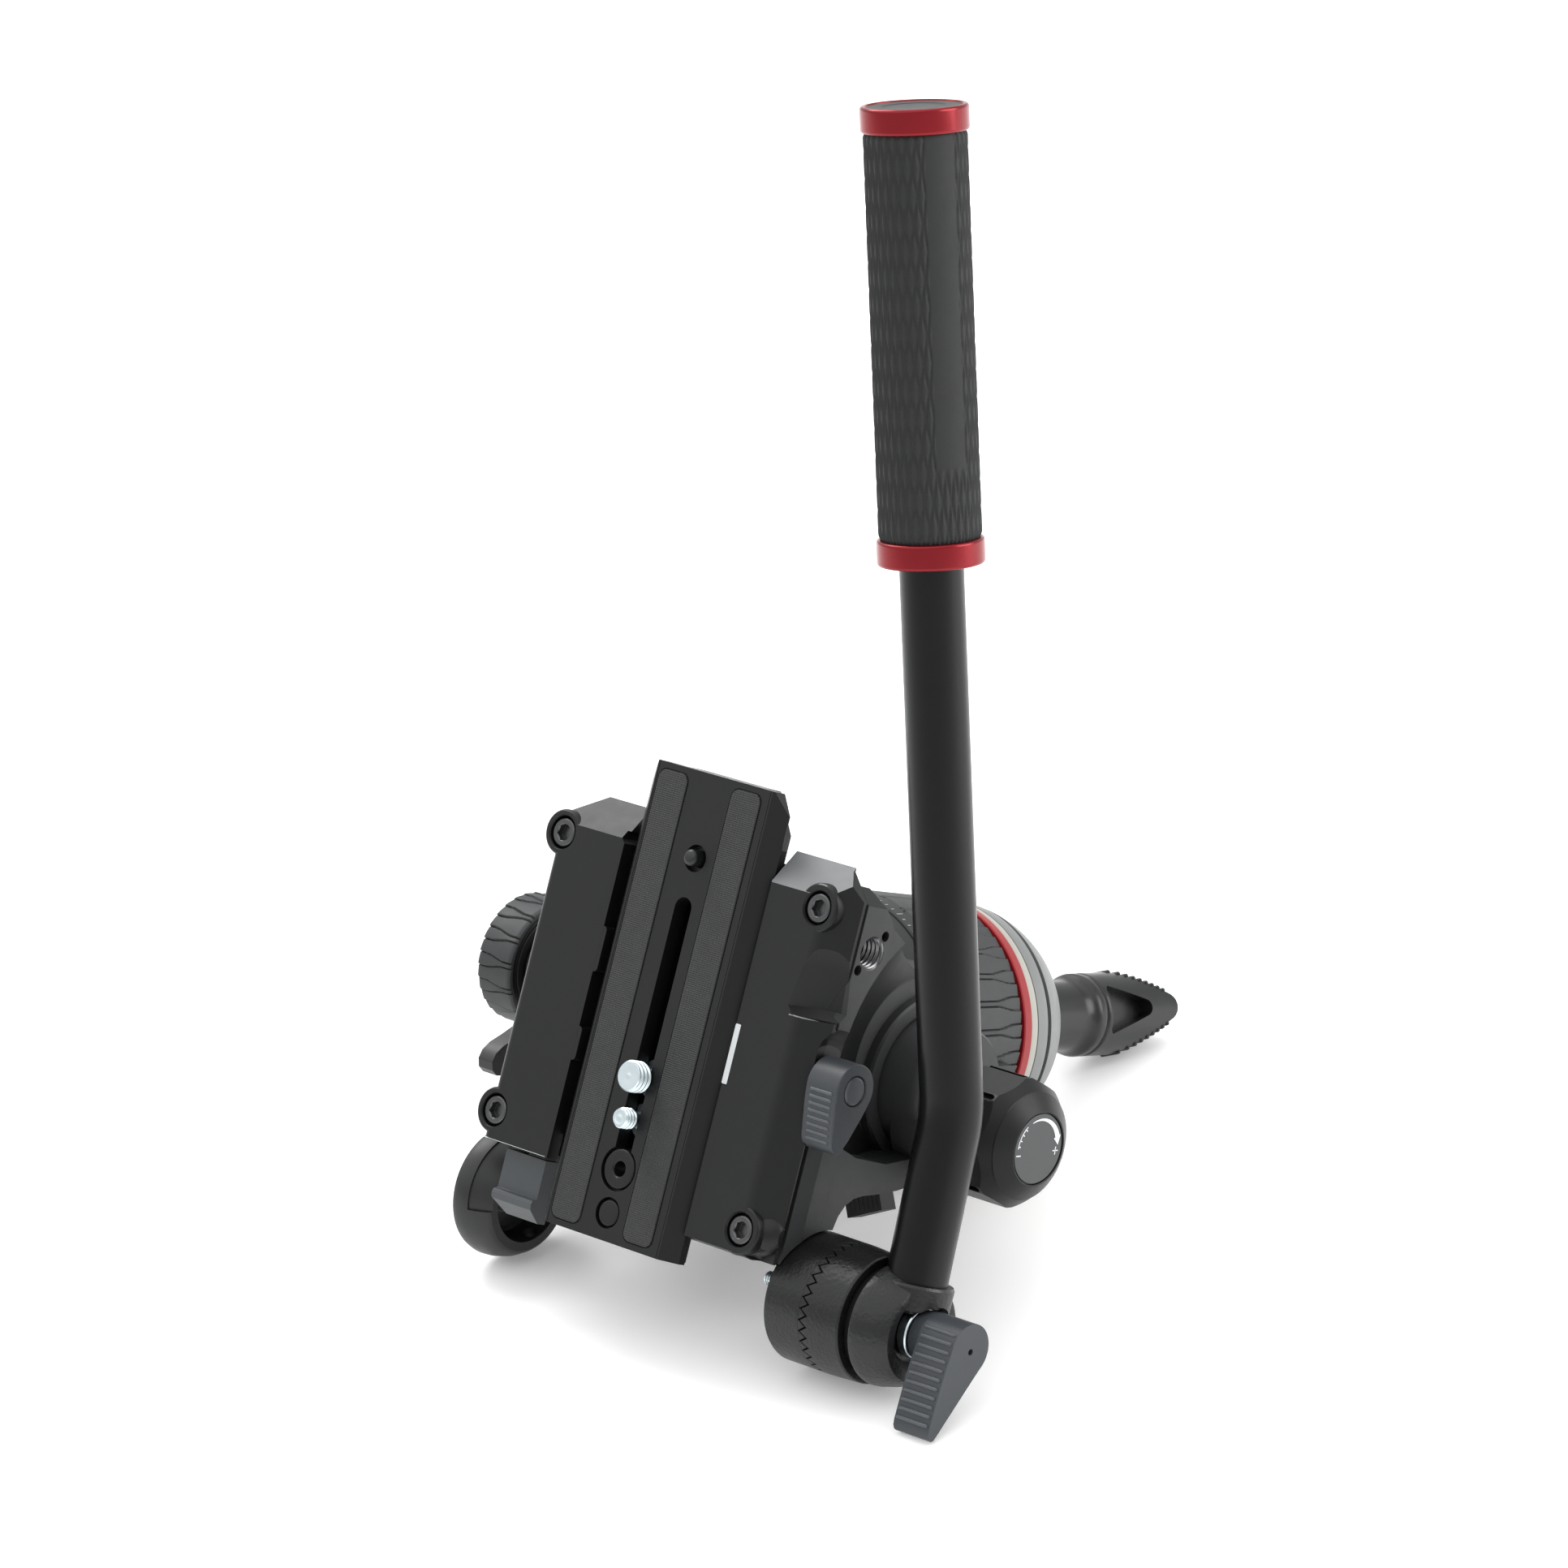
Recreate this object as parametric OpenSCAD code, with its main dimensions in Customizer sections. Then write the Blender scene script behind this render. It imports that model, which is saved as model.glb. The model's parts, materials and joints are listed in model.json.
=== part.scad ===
// Fluid video head with pan bar, lying pose of the photo, all sizes in mm.
// Row frame: +Z is the pan axis, +X the operator's right (tilt axis), +Y the front.
// The origin is the centre of the 75 mm half ball.

/* [Plate] */
// length of the camera plate
plate_len = 140; // [100:1:180]
// half width of the plate top
plate_hw = 23; // [20:0.5:26]
// half width of the plate at its flare
plate_flare = 27.5; // [24:0.5:28]
// thickness of the plate
plate_t = 12; // [10:0.5:14]
// radius of the large camera screw (3/8 inch)
screw_38_r = 4.76; // [4.5:0.01:5]
// radius of the small camera screw (1/4 inch)
screw_14_r = 3.175; // [3:0.005:3.3]

/* [Platform] */
// tilt of the platform, front down, in the rest pose
tau = 8.2; // [0:0.1:20]
// height of the plate top above the tilt axis
axis_drop = 68; // [60:0.5:76]
// outer side of the right flank
side_x = 60; // [56:0.5:64]
// radius of the round arm ends
arm_r = 33; // [28:0.5:33]

/* [Pan bar] */
// side distance of the pan bar
bar_x = 94.5; // [90:0.5:100]
// radius of the bar tube
tube_r = 9.2; // [8:0.1:9.5]
// radius of the rubber grip
grip_r = 14.75; // [13:0.05:16]
// straight length above the bend
bar_len = 289.4; // [200:0.1:340]
// bend of the bar
bar_bend = 15.66; // [0:0.01:30]
// turn of the bent bar in its clamp
bar_roll = -23.1; // [-40:0.1:40]

/* [Base] */
// radius of the half ball (75 mm bowl)
ball_r = 37.5; // [37:0.1:38]
// radius of the pan drag ring at its upper edge
ring_r = 42; // [40:0.1:42.4]
// turn of the tie-down knob at rest
tie_turn = 21; // [-180:1:180]
// height of the tilt axis above the ball centre
tilt_z = 60.2; // [58:0.1:64]

/* [Hidden] */
$fn = 64;
tilt_y = -4.4;
py = -3.3;
pz = -axis_drop;
ros_y = -69.5;
ros_z = -30;
cb_y = -13.85;
cb_z = 59.84;
bar_a = 3.1;
bend_y = -6.3;
bend_z = -27.2;
bend_rad = 45;
bend_t = bend_rad * tan(bar_bend / 2);

// platform frame: origin on the plate top, moved to the rest pose
module on_tilt() {
    translate([0, tilt_y, tilt_z]) rotate([-tau, 0, 0]) translate([0, -py, -pz]) children();
}
module xcyl(r, x0, x1, y = 0, z = 0, r2 = -1) {
    translate([x0, y, z]) rotate([0, 90, 0]) cylinder(r1 = r, r2 = r2 < 0 ? r : r2, h = x1 - x0);
}
module zcyl(r, z0, z1, x = 0, y = 0, r2 = -1) {
    translate([x, y, z0]) cylinder(r1 = r, r2 = r2 < 0 ? r : r2, h = z1 - z0);
}
module box(x0, x1, y0, y1, z0, z1) {
    translate([x0, y0, z0]) cube([x1 - x0, y1 - y0, z1 - z0]);
}
// 2-D outline in (y, z), drawn out along x
module yz(x0, x1) {
    translate([x0, 0, 0]) rotate([90, 0, 90]) linear_extrude(x1 - x0) children();
}
// 2-D outline in (x, z), drawn out along y
module xz(y0, y1) {
    translate([0, y1, 0]) rotate([90, 0, 0]) linear_extrude(y1 - y0) children();
}
// along the upper straight of the bar, z is the way along it from the bend
module on_bar() {
    on_bar_low() rotate([0, 0, bar_roll]) rotate([bar_bend, 0, 0]) children();
}
// along the lower straight, z is the way along it from the bend
module on_bar_low() {
    on_tilt() translate([bar_x, bend_y, bend_z]) rotate([bar_a - 90, 0, 0]) children();
}

// ---------- base ----------
module half_ball() color("#8d9093") difference() {
    intersection() { sphere(r = ball_r, $fn = 96); zcyl(40, -32, -3.3); }
    zcyl(5.03, -33, -12);
    zcyl(14.1, -14, -5);
    zcyl(30, -6, 0);
    difference() { zcyl(40, -11.1, -9.1); zcyl(34.4, -12, -8); }
}
module ball_ring() color("#d9d4c8") difference() {
    zcyl(37.3, -3.25, -0.9, r2 = 37.55);
    zcyl(30, -7, 1);
}
module red_ring() color("#b01022") difference() {
    zcyl(38.1, -0.85, 4.8, r2 = 38.8);
    zcyl(30, -2, 6);
}
module pan_post() color("#55585c") union() {
    zcyl(14, -13.9, -5.9);
    zcyl(29.9, -5.9, 4.6);
    zcyl(14, 4.6, 36);
}
module tie_down_stud() color("#9a9da1") zcyl(5, -81, -14.1);
module tie_down_washer() color("#1c1d1f") difference() {
    zcyl(10.5, -42, -37.5, r2 = 16);
    zcyl(5.3, -43, -37);
}
module tie_down_knob() color("#202124") rotate([0, 0, tie_turn]) difference() {
    union() {
        zcyl(11, -63, -42.1);
        zcyl(13, -66, -61.5, r2 = 11);
        intersection() {
            zcyl(13, -103, -65);
            yz(-14, 14) polygon(concat([[-13, -64], [13, -64], [13, -79.3]],
                [for (i = [0:12]) [4.4 * cos(-25 - 130 * i / 12), -96.6 + 4.4 * sin(-25 - 130 * i / 12)]],
                [[-13, -79.3]]));
        }
    }
    zcyl(5.1, -83, -41);
}

// ---------- pan ----------
module pan_housing() color("#26282b") difference() {
    union() {
        zcyl(33.5, 5.2, 41);
        zcyl(41.4, 41, 46.5);
        zcyl(40.5, 46.5, 57, r2 = 33);
        intersection() {
            xcyl(33, -42.4, 42.4, tilt_y, tilt_z);
            box(-43, 43, -50, 50, 44, 100);
        }
    }
    zcyl(14.1, 0, 36.4);
    rotate([0, 0, -66]) xcyl(2.95, 36, 50, 0, 44.5);
    zcyl(5.65, 48.15, 58, -12, 33.5);
    xcyl(12.05, -43, -29, tilt_y, tilt_z);
    xcyl(12.05, 29, 43, tilt_y, tilt_z);
}
module tilt_hub_right() color("#232528") union() {
    xcyl(12, 29.5, 42.7, tilt_y, tilt_z);
    xcyl(17.3, 42.6, 57, tilt_y, tilt_z);
}
module tilt_hub_left() color("#232528") union() {
    xcyl(12, -42.7, -29.5, tilt_y, tilt_z);
    xcyl(17.3, -57, -42.6, tilt_y, tilt_z);
    xcyl(19, -83.4, -57.5, tilt_y, tilt_z);
    xcyl(17.3, -57.6, -56.9, tilt_y, tilt_z);
    xcyl(9, -104, -83.3, tilt_y, tilt_z);
    xcyl(14.5, -104, -93.5, tilt_y, tilt_z);
    xcyl(6, -116, -103.9, tilt_y, tilt_z);
}
module cb_housing() color("#232528") difference() {
    union() {
        xcyl(17.3, 57.05, 62, tilt_y, tilt_z, r2 = 16.5);
        xcyl(16.5, 58, 70, cb_y, cb_z);
    }
    xcyl(5.05, 56, 71, cb_y, cb_z);
}
module bubble_holder() color("#1b1c1e") difference() {
    zcyl(5.6, 48.2, 52.6, -12, 33.5);
    zcyl(4.6, 49.4, 53, -12, 33.5);
}
module bubble_vial() color("#b9c65a") zcyl(4.55, 49.4, 52.8, -12, 33.5);
module pan_drag_ring() color("#2c2e31") difference() {
    zcyl(38.8, 5.1, 40.5, r2 = ring_r);
    zcyl(34, 4, 41.5);
}
module pan_lock_lever() color("#3a3e44") rotate([0, 0, -66]) union() {
    xcyl(2.9, 36.4, 49, 0, 44.5);
    box(46, 57, -7, 7, 41.5, 48);
    xcyl(5, 43, 46.5, 0, 44.5);
}

// ---------- counterbalance knob ----------
module cb_knob() color("#25272a") difference() {
    union() {
        xcyl(5, 58.5, 72, cb_y, cb_z);
        xcyl(19.5, 70.4, 91, cb_y, cb_z);
        xcyl(18.6, 91, 94.9, cb_y, cb_z, r2 = 15.4);
    }
    for (a = [22.5 : 45 : 359]) translate([0, cb_y, cb_z]) rotate([a, 0, 0]) box(69, 88, 17.9, 21, -1, 1);
    xcyl(11.2, 93.9, 96, cb_y, cb_z);
}
module cb_disc() color("#4a4d51") xcyl(10.8, 93.95, 94.7, cb_y, cb_z);

// ---------- tilt drag knob and tilt lock ----------
module tilt_drag_hub() color("#1c1d1f") difference() {
    union() {
        xcyl(18.5, -118.6, -105.6, tilt_y, tilt_z);
        xcyl(16.8, -105.7, -104.6, tilt_y, tilt_z);
    }
    xcyl(6.06, -117, -104, tilt_y, tilt_z);
}
module tilt_drag_rubber() color("#303236") difference() {
    xcyl(20.7, -119, -105, tilt_y, tilt_z);
    xcyl(18.55, -120, -104, tilt_y, tilt_z);
}
module tilt_lock_lever() color("#2a2c30") difference() {
    translate([0, tilt_y, tilt_z]) union() {
        xcyl(13.5, -93, -84);
        rotate([33, 0, 0]) box(-92, -85, -4.5, 4.5, 0, 45);
        rotate([33, 0, 0]) xcyl(6, -92.5, -84.5, 0, 44);
    }
    xcyl(9.06, -94, -83, tilt_y, tilt_z);
}

// ---------- platform ----------
module deck() color("#1e2023") on_tilt() difference() {
    union() {
        box(-57, 29, -52, 50, -24, -10.1);
        box(28, side_x, -62, 50, -24, -10.1);
    }
    // channel of the plate and of the side jaw
    box(-46.8, 28.9, -80, 80, -12.4, 0);
    box(-28.9, 28.9, -80, -45, -30, 0);
    // right side lip is left standing by a lower cut
    box(6, 40, -70, 2, -30, -15.2);
    // rosettes stand in round cuts
    xcyl(19.8, 56.5, 80, ros_y, ros_z);
    xcyl(20.7, -80, -54.4, ros_y, ros_z);
    // screws
    zcyl(2.55, -18, -9, -55.3, 41.3);
    zcyl(2.55, -18, -9, -55.2, -43.8);
    zcyl(2.55, -18, -9, 48, 41.1);
    zcyl(2.55, -18, -9, 48.7, -54.4);
    // threaded side socket with two pin holes
    xcyl(6.05, 47, side_x + 1, 31.9, -16.6);
    xcyl(1.5, 52, side_x + 1, 37.4, -20.6);
    xcyl(1.5, 52, side_x + 1, 26.4, -12.2);
    // slide lock spindle and lever recess
    xcyl(3.1, 40, side_x + 1, -7.2, -12);
    xcyl(13, 57.4, side_x + 1, -7.2, -12);
    xcyl(2.25, 48, 57, -67, -19);
    // front corners
    translate([0, 50, -24]) rotate([45, 0, 0]) box(-70, 70, -7, 7, -7, 7);
}
module arm_blank(x0, x1) union() {
    yz(x0, x1) polygon([[-51, -24.15], [44, -24.15], [37, -32], [31, -48], [26, -61], [-33.5, -61], [-34.6, -52], [-37, -41], [-42, -33.5]]);
    xcyl(arm_r, x0, x1, py, pz);
}
module arm_right() color("#1f2124") on_tilt() difference() {
    arm_blank(43, side_x);
    xcyl(43.8, 55, side_x + 2, py, pz);
    xcyl(21, 42, 56, py, pz);
}
module arm_left() color("#1f2124") on_tilt() difference() {
    arm_blank(-55, -43);
    xcyl(21, -56, -42, py, pz);
}
module bearing_right() color("#b08d4f") difference() {
    xcyl(20.95, 43.4, 54.6, tilt_y, tilt_z);
    xcyl(17.36, 43, 55, tilt_y, tilt_z);
}
module bearing_left() color("#b08d4f") difference() {
    xcyl(20.95, -54.6, -43.4, tilt_y, tilt_z);
    xcyl(17.36, -55, -43, tilt_y, tilt_z);
}
module screw_cut(x, y) {
    zcyl(5.3, -6, 1, x, y);
    zcyl(2.7, -11, -5, x, y);
}
module wing_left() color("#202225") on_tilt() difference() {
    union() {
        yz(-57.5, -30.2) polygon([[-52.5, -10], [-52.5, -2], [44.6, -2], [54.8, -10]]);
        zcyl(7, -10, -2, -55.3, 41.3);
        zcyl(7, -10, -2, -55.2, -43.8);
        box(-30.4, -28.7, 4.4, 18.2, -6.6, -2);
        box(-30.4, -28.7, -22.5, -12.2, -6.6, -2);
    }
    box(-46.9, -27, -60, 42.5, -11, -6.8);
    screw_cut(-55.3, 41.3);
    screw_cut(-55.2, -43.8);
}
module wing_right() color("#202225") on_tilt() difference() {
    union() {
        intersection() {
            xz(-62, 56) polygon([[28.7, -10], [28.7, -2], [50, -2], [side_x - 0.5, -7.5], [side_x - 0.5, -10]]);
            yz(20, 70) polygon([[-62, -10], [-62, -2], [44.6, -2], [54.8, -10]]);
        }
        zcyl(7.4, -10, -2.1, 48, 41.1);
        zcyl(7.4, -10, -2.1, 48.7, -54.4);
    }
    box(28, 30.8, -15.8, 2.6, -8.2, -2.6);
    xcyl(13, 57.4, 70, -7.2, -12);
    xcyl(3.2, 40, 70, -7.2, -12);
    screw_cut(48, 41.1);
    screw_cut(48.7, -54.4);
}
module hex_screw(x, y) color("#3b3d40") on_tilt() difference() {
    union() {
        zcyl(4.4, -5.9, -2.5, x, y);
        zcyl(2.5, -17.5, -5.8, x, y);
    }
    translate([x, y, -4.9]) rotate([0, 0, 15]) cylinder(r = 2.6, h = 4, $fn = 6);
}
module screw_fl() hex_screw(-55.3, 41.3);
module screw_rl() hex_screw(-55.2, -43.8);
module screw_fr() hex_screw(48, 41.1);
module screw_rr() hex_screw(48.7, -54.4);
module clamp_pad() color("#b8bcc0") on_tilt() box(28.5, 30.7, -15.6, 2.4, -8, -2.8);
module link_bush() color("#c3c6c9") on_tilt() difference() {
    xcyl(6, 47.2, side_x - 0.3, 31.9, -16.6);
    xcyl(screw_38_r, 46, side_x + 1, 31.9, -16.6);
}
module rosette_right() color("#232528") on_tilt() difference() {
    xcyl(19.6, 56.6, 70.4, ros_y, ros_z);
    xcyl(3.3, 56, 71, ros_y, ros_z);
    xcyl(2.3, 56, 59, -67, -19);
}
module rosette_left() color("#232528") on_tilt() difference() {
    xcyl(20.5, -71, -54.6, ros_y, ros_z);
    xcyl(17.8, -66.5, -54, ros_y, ros_z);
    xcyl(3.3, -72, -60, ros_y, ros_z);
    box(-58, -54, -80, -60, -60, -33);
}
module rosette_screw() color("#c8ccd0") on_tilt() xcyl(2.2, 49.5, 58.8, -67, -19);

// ---------- side lock ----------
module side_jaw() color("#2b2d31") on_tilt() union() {
    xz(-45, 41) polygon([[-42, -12.1], [-24.6, -12.1], [-24.6, -11.6], [-28.6, -7.5], [-28.6, -7.2], [-42, -7.2]]);
    box(-42, -35, -54, -44.9, -12.1, -7.2);
}
module release_button() color("#5d646d") on_tilt() union() {
    box(-50.5, -34, -66, -54, -12.5, -6.5);
    xz(-73, -66) polygon([[-50.5, -13], [-34, -13], [-34, -6], [-36, -4.5], [-50.5, -4.5]]);
}
module slide_lever() color("#4d535b") on_tilt() difference() {
    union() {
        xcyl(8, 60.4, 70.2, -7.2, -12);
        translate([0, -7.2, -12]) rotate([3, 0, 0]) yz(60.4, 70.2) polygon([[0, 7.2], [-3, 7.2], [-17, 5.4], [-19, 3.4], [-19, 0.5], [-5, -5.6], [0, -5.6]]);
    }
    xcyl(3.02, 60, 68, -7.2, -12);
    xcyl(4.5, 69.4, 71, -7.2, -12);
}
module slide_spindle() color("#85898e") on_tilt() xcyl(3, 40.5, 67.8, -7.2, -12);
module slide_cap() color("#5a6068") on_tilt() xcyl(4.2, 69.45, 70.4, -7.2, -12);

// ---------- camera plate ----------
module camera_plate() color("#191a1c") on_tilt() difference() {
    xz(-plate_len / 2, plate_len / 2) polygon([[-plate_hw, 0], [plate_hw, 0], [plate_flare, -4.5], [plate_flare, -7],
        [23.5, -11], [23.5, -plate_t], [-23.5, -plate_t], [-23.5, -11], [-plate_flare, -7], [-plate_flare, -4.5]]);
    for (s = [-1, 1]) {
        box(s * 16.2 - 5.5, s * 16.2 + 5.5, -66.5, 66.5, -0.8, 1);
        translate([s * 23.2, 70.3, 0]) rotate([0, 0, -s * 56]) box(-12, 12, 0, 12, -14, 1);
    }
    // long slot with a wider channel below
    box(-3.25, 3.25, -43, 30, -13, 1);
    zcyl(3.25, -13, 1, 0, 30);
    box(-6.6, 6.6, -42.5, 36, -13, -5);
    zcyl(6.6, -2, 1, 0, -48.5);
    zcyl(3.05, -13, 1, 0, -48.5);
    zcyl(4.6, -3, 1, 0, -61.8);
    zcyl(2.55, -13, 1, 0, 45);
    zcyl(4.1, -13, -3.2, 0, 45);
}
module pad(s) on_tilt() union() {
    box(s * 16.2 - 5.4, s * 16.2 + 5.4, -64, 64, -0.75, 0.3);
    box(s * 16.2 - 3.4, s * 16.2 + 3.4, -66.4, 66.4, -0.75, 0.3);
    for (a = [-1, 1]) for (b = [-1, 1]) zcyl(2.4, -0.75, 0.3, s * 16.2 + a * 3, b * 64);
}
module pad_left() color("#2b2c2e") pad(-1);
module pad_right() color("#2b2c2e") pad(1);
module plate_bush() color("#2e3033") on_tilt() difference() {
    union() { zcyl(6, -1.9, -0.2, 0, -48.5); zcyl(3, -11.5, -1.8, 0, -48.5); }
    zcyl(2.2, -12, 1, 0, -48.5);
}
module plate_plug() color("#2e3033") on_tilt() zcyl(4, -2.9, -0.3, 0, -61.8);
module anti_twist_pin() color("#3c3e41") on_tilt() union() {
    zcyl(2.5, -7, 3, 0, 45);
    zcyl(4, -8, -6.5, 0, 45);
}
module screw_38() color("#cdd3d8") on_tilt() union() {
    zcyl(6, -11.5, -5.3, 0, -21);
    zcyl(3.15, -5.4, 0.4, 0, -21);
    zcyl(screw_38_r, 0.35, 4.6, 0, -21);
    zcyl(screw_38_r, 4.55, 5.6, 0, -21, r2 = 3.9);
}
module screw_14() color("#cdd3d8") on_tilt() union() {
    zcyl(5.4, -11.5, -5.3, 0, -33.5);
    zcyl(2.8, -5.4, 0.4, 0, -33.5);
    zcyl(screw_14_r, 0.35, 4.2, 0, -33.5);
    zcyl(screw_14_r, 4.15, 5, 0, -33.5, r2 = 2.5);
}

// ---------- pan bar ----------
module tube_bore(r) {
    on_bar_low() translate([0, 0, -56]) cylinder(r = r, h = 40);
}
module clamp_inner() color("#222427") difference() {
    on_tilt() xcyl(19.5, 70.8, 85.5, ros_y, ros_z, r2 = 18.6);
    on_tilt() xcyl(3.3, 70, 86, ros_y, ros_z);
    tube_bore(tube_r + 0.12);
}
module clamp_spacer() color("#0f1011") difference() {
    on_tilt() xcyl(16.4, 85.55, 88.55, ros_y, ros_z);
    on_tilt() xcyl(3.3, 85, 89, ros_y, ros_z);
    tube_bore(tube_r + 0.12);
}
module clamp_outer() color("#24262a") difference() {
    union() {
        on_tilt() xcyl(17.8, 88.6, 100.3, ros_y, ros_z, r2 = 12.8);
        intersection() {
            on_bar_low() translate([0, 0, -60]) cylinder(r = 11.2, h = 11);
            on_tilt() box(88.6, 120, -90, -20, -60, 0);
        }
    }
    on_tilt() xcyl(3.3, 88, 110, ros_y, ros_z);
    on_tilt() xcyl(7.4, 97.4, 100.4, ros_y, ros_z, r2 = 11.6);
    on_tilt() xcyl(9, 99.9, 121, ros_y, ros_z);
    tube_bore(tube_r + 0.06);
}
module clamp_washer() color("#dfe2e4") on_tilt() difference() {
    xcyl(7, 97.5, 101.4, ros_y, ros_z);
    xcyl(3.3, 97, 102, ros_y, ros_z);
}
module bar_tube() color("#141517") difference() {
    union() {
        on_bar_low() translate([0, 0, -55.5]) cylinder(r = tube_r, h = 55.5 - bend_t);
        on_bar_low() rotate([0, 0, bar_roll]) translate([0, -bend_rad, -bend_t]) rotate([90, 0, 90]) rotate([0, 0, -1.5])
            rotate_extrude(angle = bar_bend + 3) translate([bend_rad, 0]) circle(r = tube_r - 0.05);
        on_bar() translate([0, 0, bend_t]) cylinder(r = tube_r, h = 278 - bend_t);
    }
    on_bar() translate([0, 0, bend_t + 2]) cylinder(r = tube_r - 1.6, h = 284 - bend_t);
}
module grip() color("#2d2f32") on_bar() difference() {
    translate([0, 0, 167.2]) cylinder(r = grip_r, h = 114.6);
    translate([0, 0, 160]) cylinder(r = tube_r + 0.05, h = 125);
}
module grip_ring_low() color("#b01022") on_bar() difference() {
    translate([0, 0, 159.7]) cylinder(r = 15.4, h = 7.4);
    translate([0, 0, 155]) cylinder(r = tube_r + 0.05, h = 20);
}
module grip_ring_top() color("#b01022") on_bar() difference() {
    translate([0, 0, 281.9]) cylinder(r = 15.4, h = bar_len - 281.9);
    translate([0, 0, bar_len - 1.2]) cylinder(r = 12.9, h = 3);
}
module clamp_lever() color("#5b616a") on_tilt() difference() {
    union() {
        xcyl(7, 101.8, 106.6, ros_y, ros_z);
        xcyl(8.6, 106.1, 119.6, ros_y, ros_z);
        translate([0, ros_y, ros_z]) rotate([-13, 0, 0]) yz(106.3, 119.3)
            polygon([[0, 7], [-4, 7], [-26, 4.4], [-29.4, 2.6], [-29.4, 0.4], [-8, -6], [0, -6]]);
    }
    xcyl(3.02, 101, 117, ros_y, ros_z);
    xcyl(1, 117.4, 121, ros_y, ros_z);
}
module clamp_bolt() color("#8a8e93") on_tilt() xcyl(3, 57.5, 116.8, ros_y, ros_z);

half_ball();
ball_ring();
red_ring();
pan_post();
tie_down_stud();
tie_down_washer();
tie_down_knob();
pan_housing();
tilt_hub_right();
tilt_hub_left();
cb_housing();
bubble_holder();
bubble_vial();
pan_drag_ring();
pan_lock_lever();
cb_knob();
cb_disc();
tilt_drag_hub();
tilt_drag_rubber();
tilt_lock_lever();
deck();
arm_right();
arm_left();
bearing_right();
bearing_left();
wing_left();
wing_right();
screw_fl();
screw_rl();
screw_fr();
screw_rr();
clamp_pad();
link_bush();
rosette_right();
rosette_left();
rosette_screw();
side_jaw();
release_button();
slide_lever();
slide_spindle();
slide_cap();
camera_plate();
pad_left();
pad_right();
plate_bush();
plate_plug();
anti_twist_pin();
screw_38();
screw_14();
clamp_inner();
clamp_spacer();
clamp_outer();
clamp_washer();
bar_tube();
grip();
grip_ring_low();
grip_ring_top();
clamp_lever();
clamp_bolt();
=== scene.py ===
import bpy, bmesh, json, math
from mathutils import Vector, Matrix, noise


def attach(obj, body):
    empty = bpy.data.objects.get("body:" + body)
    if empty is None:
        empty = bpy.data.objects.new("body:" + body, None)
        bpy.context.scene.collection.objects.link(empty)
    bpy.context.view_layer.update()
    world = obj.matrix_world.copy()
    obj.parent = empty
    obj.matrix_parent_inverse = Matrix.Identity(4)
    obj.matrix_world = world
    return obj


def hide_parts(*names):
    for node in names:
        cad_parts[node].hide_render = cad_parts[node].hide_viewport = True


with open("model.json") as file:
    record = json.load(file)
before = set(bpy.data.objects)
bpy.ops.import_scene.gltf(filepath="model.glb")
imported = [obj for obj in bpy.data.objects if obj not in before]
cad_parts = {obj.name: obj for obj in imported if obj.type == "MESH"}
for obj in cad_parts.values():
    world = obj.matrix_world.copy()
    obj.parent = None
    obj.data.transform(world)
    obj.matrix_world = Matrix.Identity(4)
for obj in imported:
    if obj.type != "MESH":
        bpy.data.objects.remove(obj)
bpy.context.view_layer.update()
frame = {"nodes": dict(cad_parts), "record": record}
NODES = frame["nodes"]

# ------------------------------------------------------------------ frames (mm to the row frame in metres)
def T(x, y, z): return Matrix.Translation((x, y, z))
def RX(a): return Matrix.Rotation(math.radians(a), 4, "X")
def RY(a): return Matrix.Rotation(math.radians(a), 4, "Y")
def RZ(a): return Matrix.Rotation(math.radians(a), 4, "Z")
ROW = Matrix.Scale(0.001, 4)
PLAT = ROW @ T(0, -4.4, 60.2) @ RX(-8.2) @ T(0, 3.3, 68)
TILT = ROW @ T(0, -4.4, 60.2)
BARLOW = PLAT @ T(94.5, -6.3, -27.2) @ RX(3.1 - 90)
BAR = BARLOW @ RZ(-23.1) @ RX(15.66)
ROS = PLAT @ T(0, -69.5, -30)
CB = ROW @ T(0, -13.85, 59.84)

# ------------------------------------------------------------------ solids
class Solid:
    def __init__(self, v, f):
        self.v = [Vector(p) for p in v]
        self.f = f
    def mv(self, m):
        return Solid([m @ p for p in self.v], self.f)

AX = {"z": lambda a, b, h: (a, b, h), "x": lambda a, b, h: (h, a, b), "y": lambda a, b, h: (a, h, b)}

def prism(poly, lo, hi, axis="z"):
    k = AX[axis]; n = len(poly)
    v = [k(a, b, lo) for a, b in poly] + [k(a, b, hi) for a, b in poly]
    f = [list(range(n))[::-1], list(range(n, 2 * n))] + [[i, (i + 1) % n, n + (i + 1) % n, n + i] for i in range(n)]
    return Solid(v, f)

def block(x0, x1, y0, y1, z0, z1):
    return prism([(x0, y0), (x1, y0), (x1, y1), (x0, y1)], z0, z1)

def rrect(x0, x1, y0, y1, r, n=6):
    out = []
    for cx, cy, a0 in ((x1 - r, y1 - r, 0), (x0 + r, y1 - r, 90), (x0 + r, y0 + r, 180), (x1 - r, y0 + r, 270)):
        for i in range(n + 1):
            a = math.radians(a0 + 90 * i / n)
            out.append((cx + r * math.cos(a), cy + r * math.sin(a)))
    return out

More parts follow.
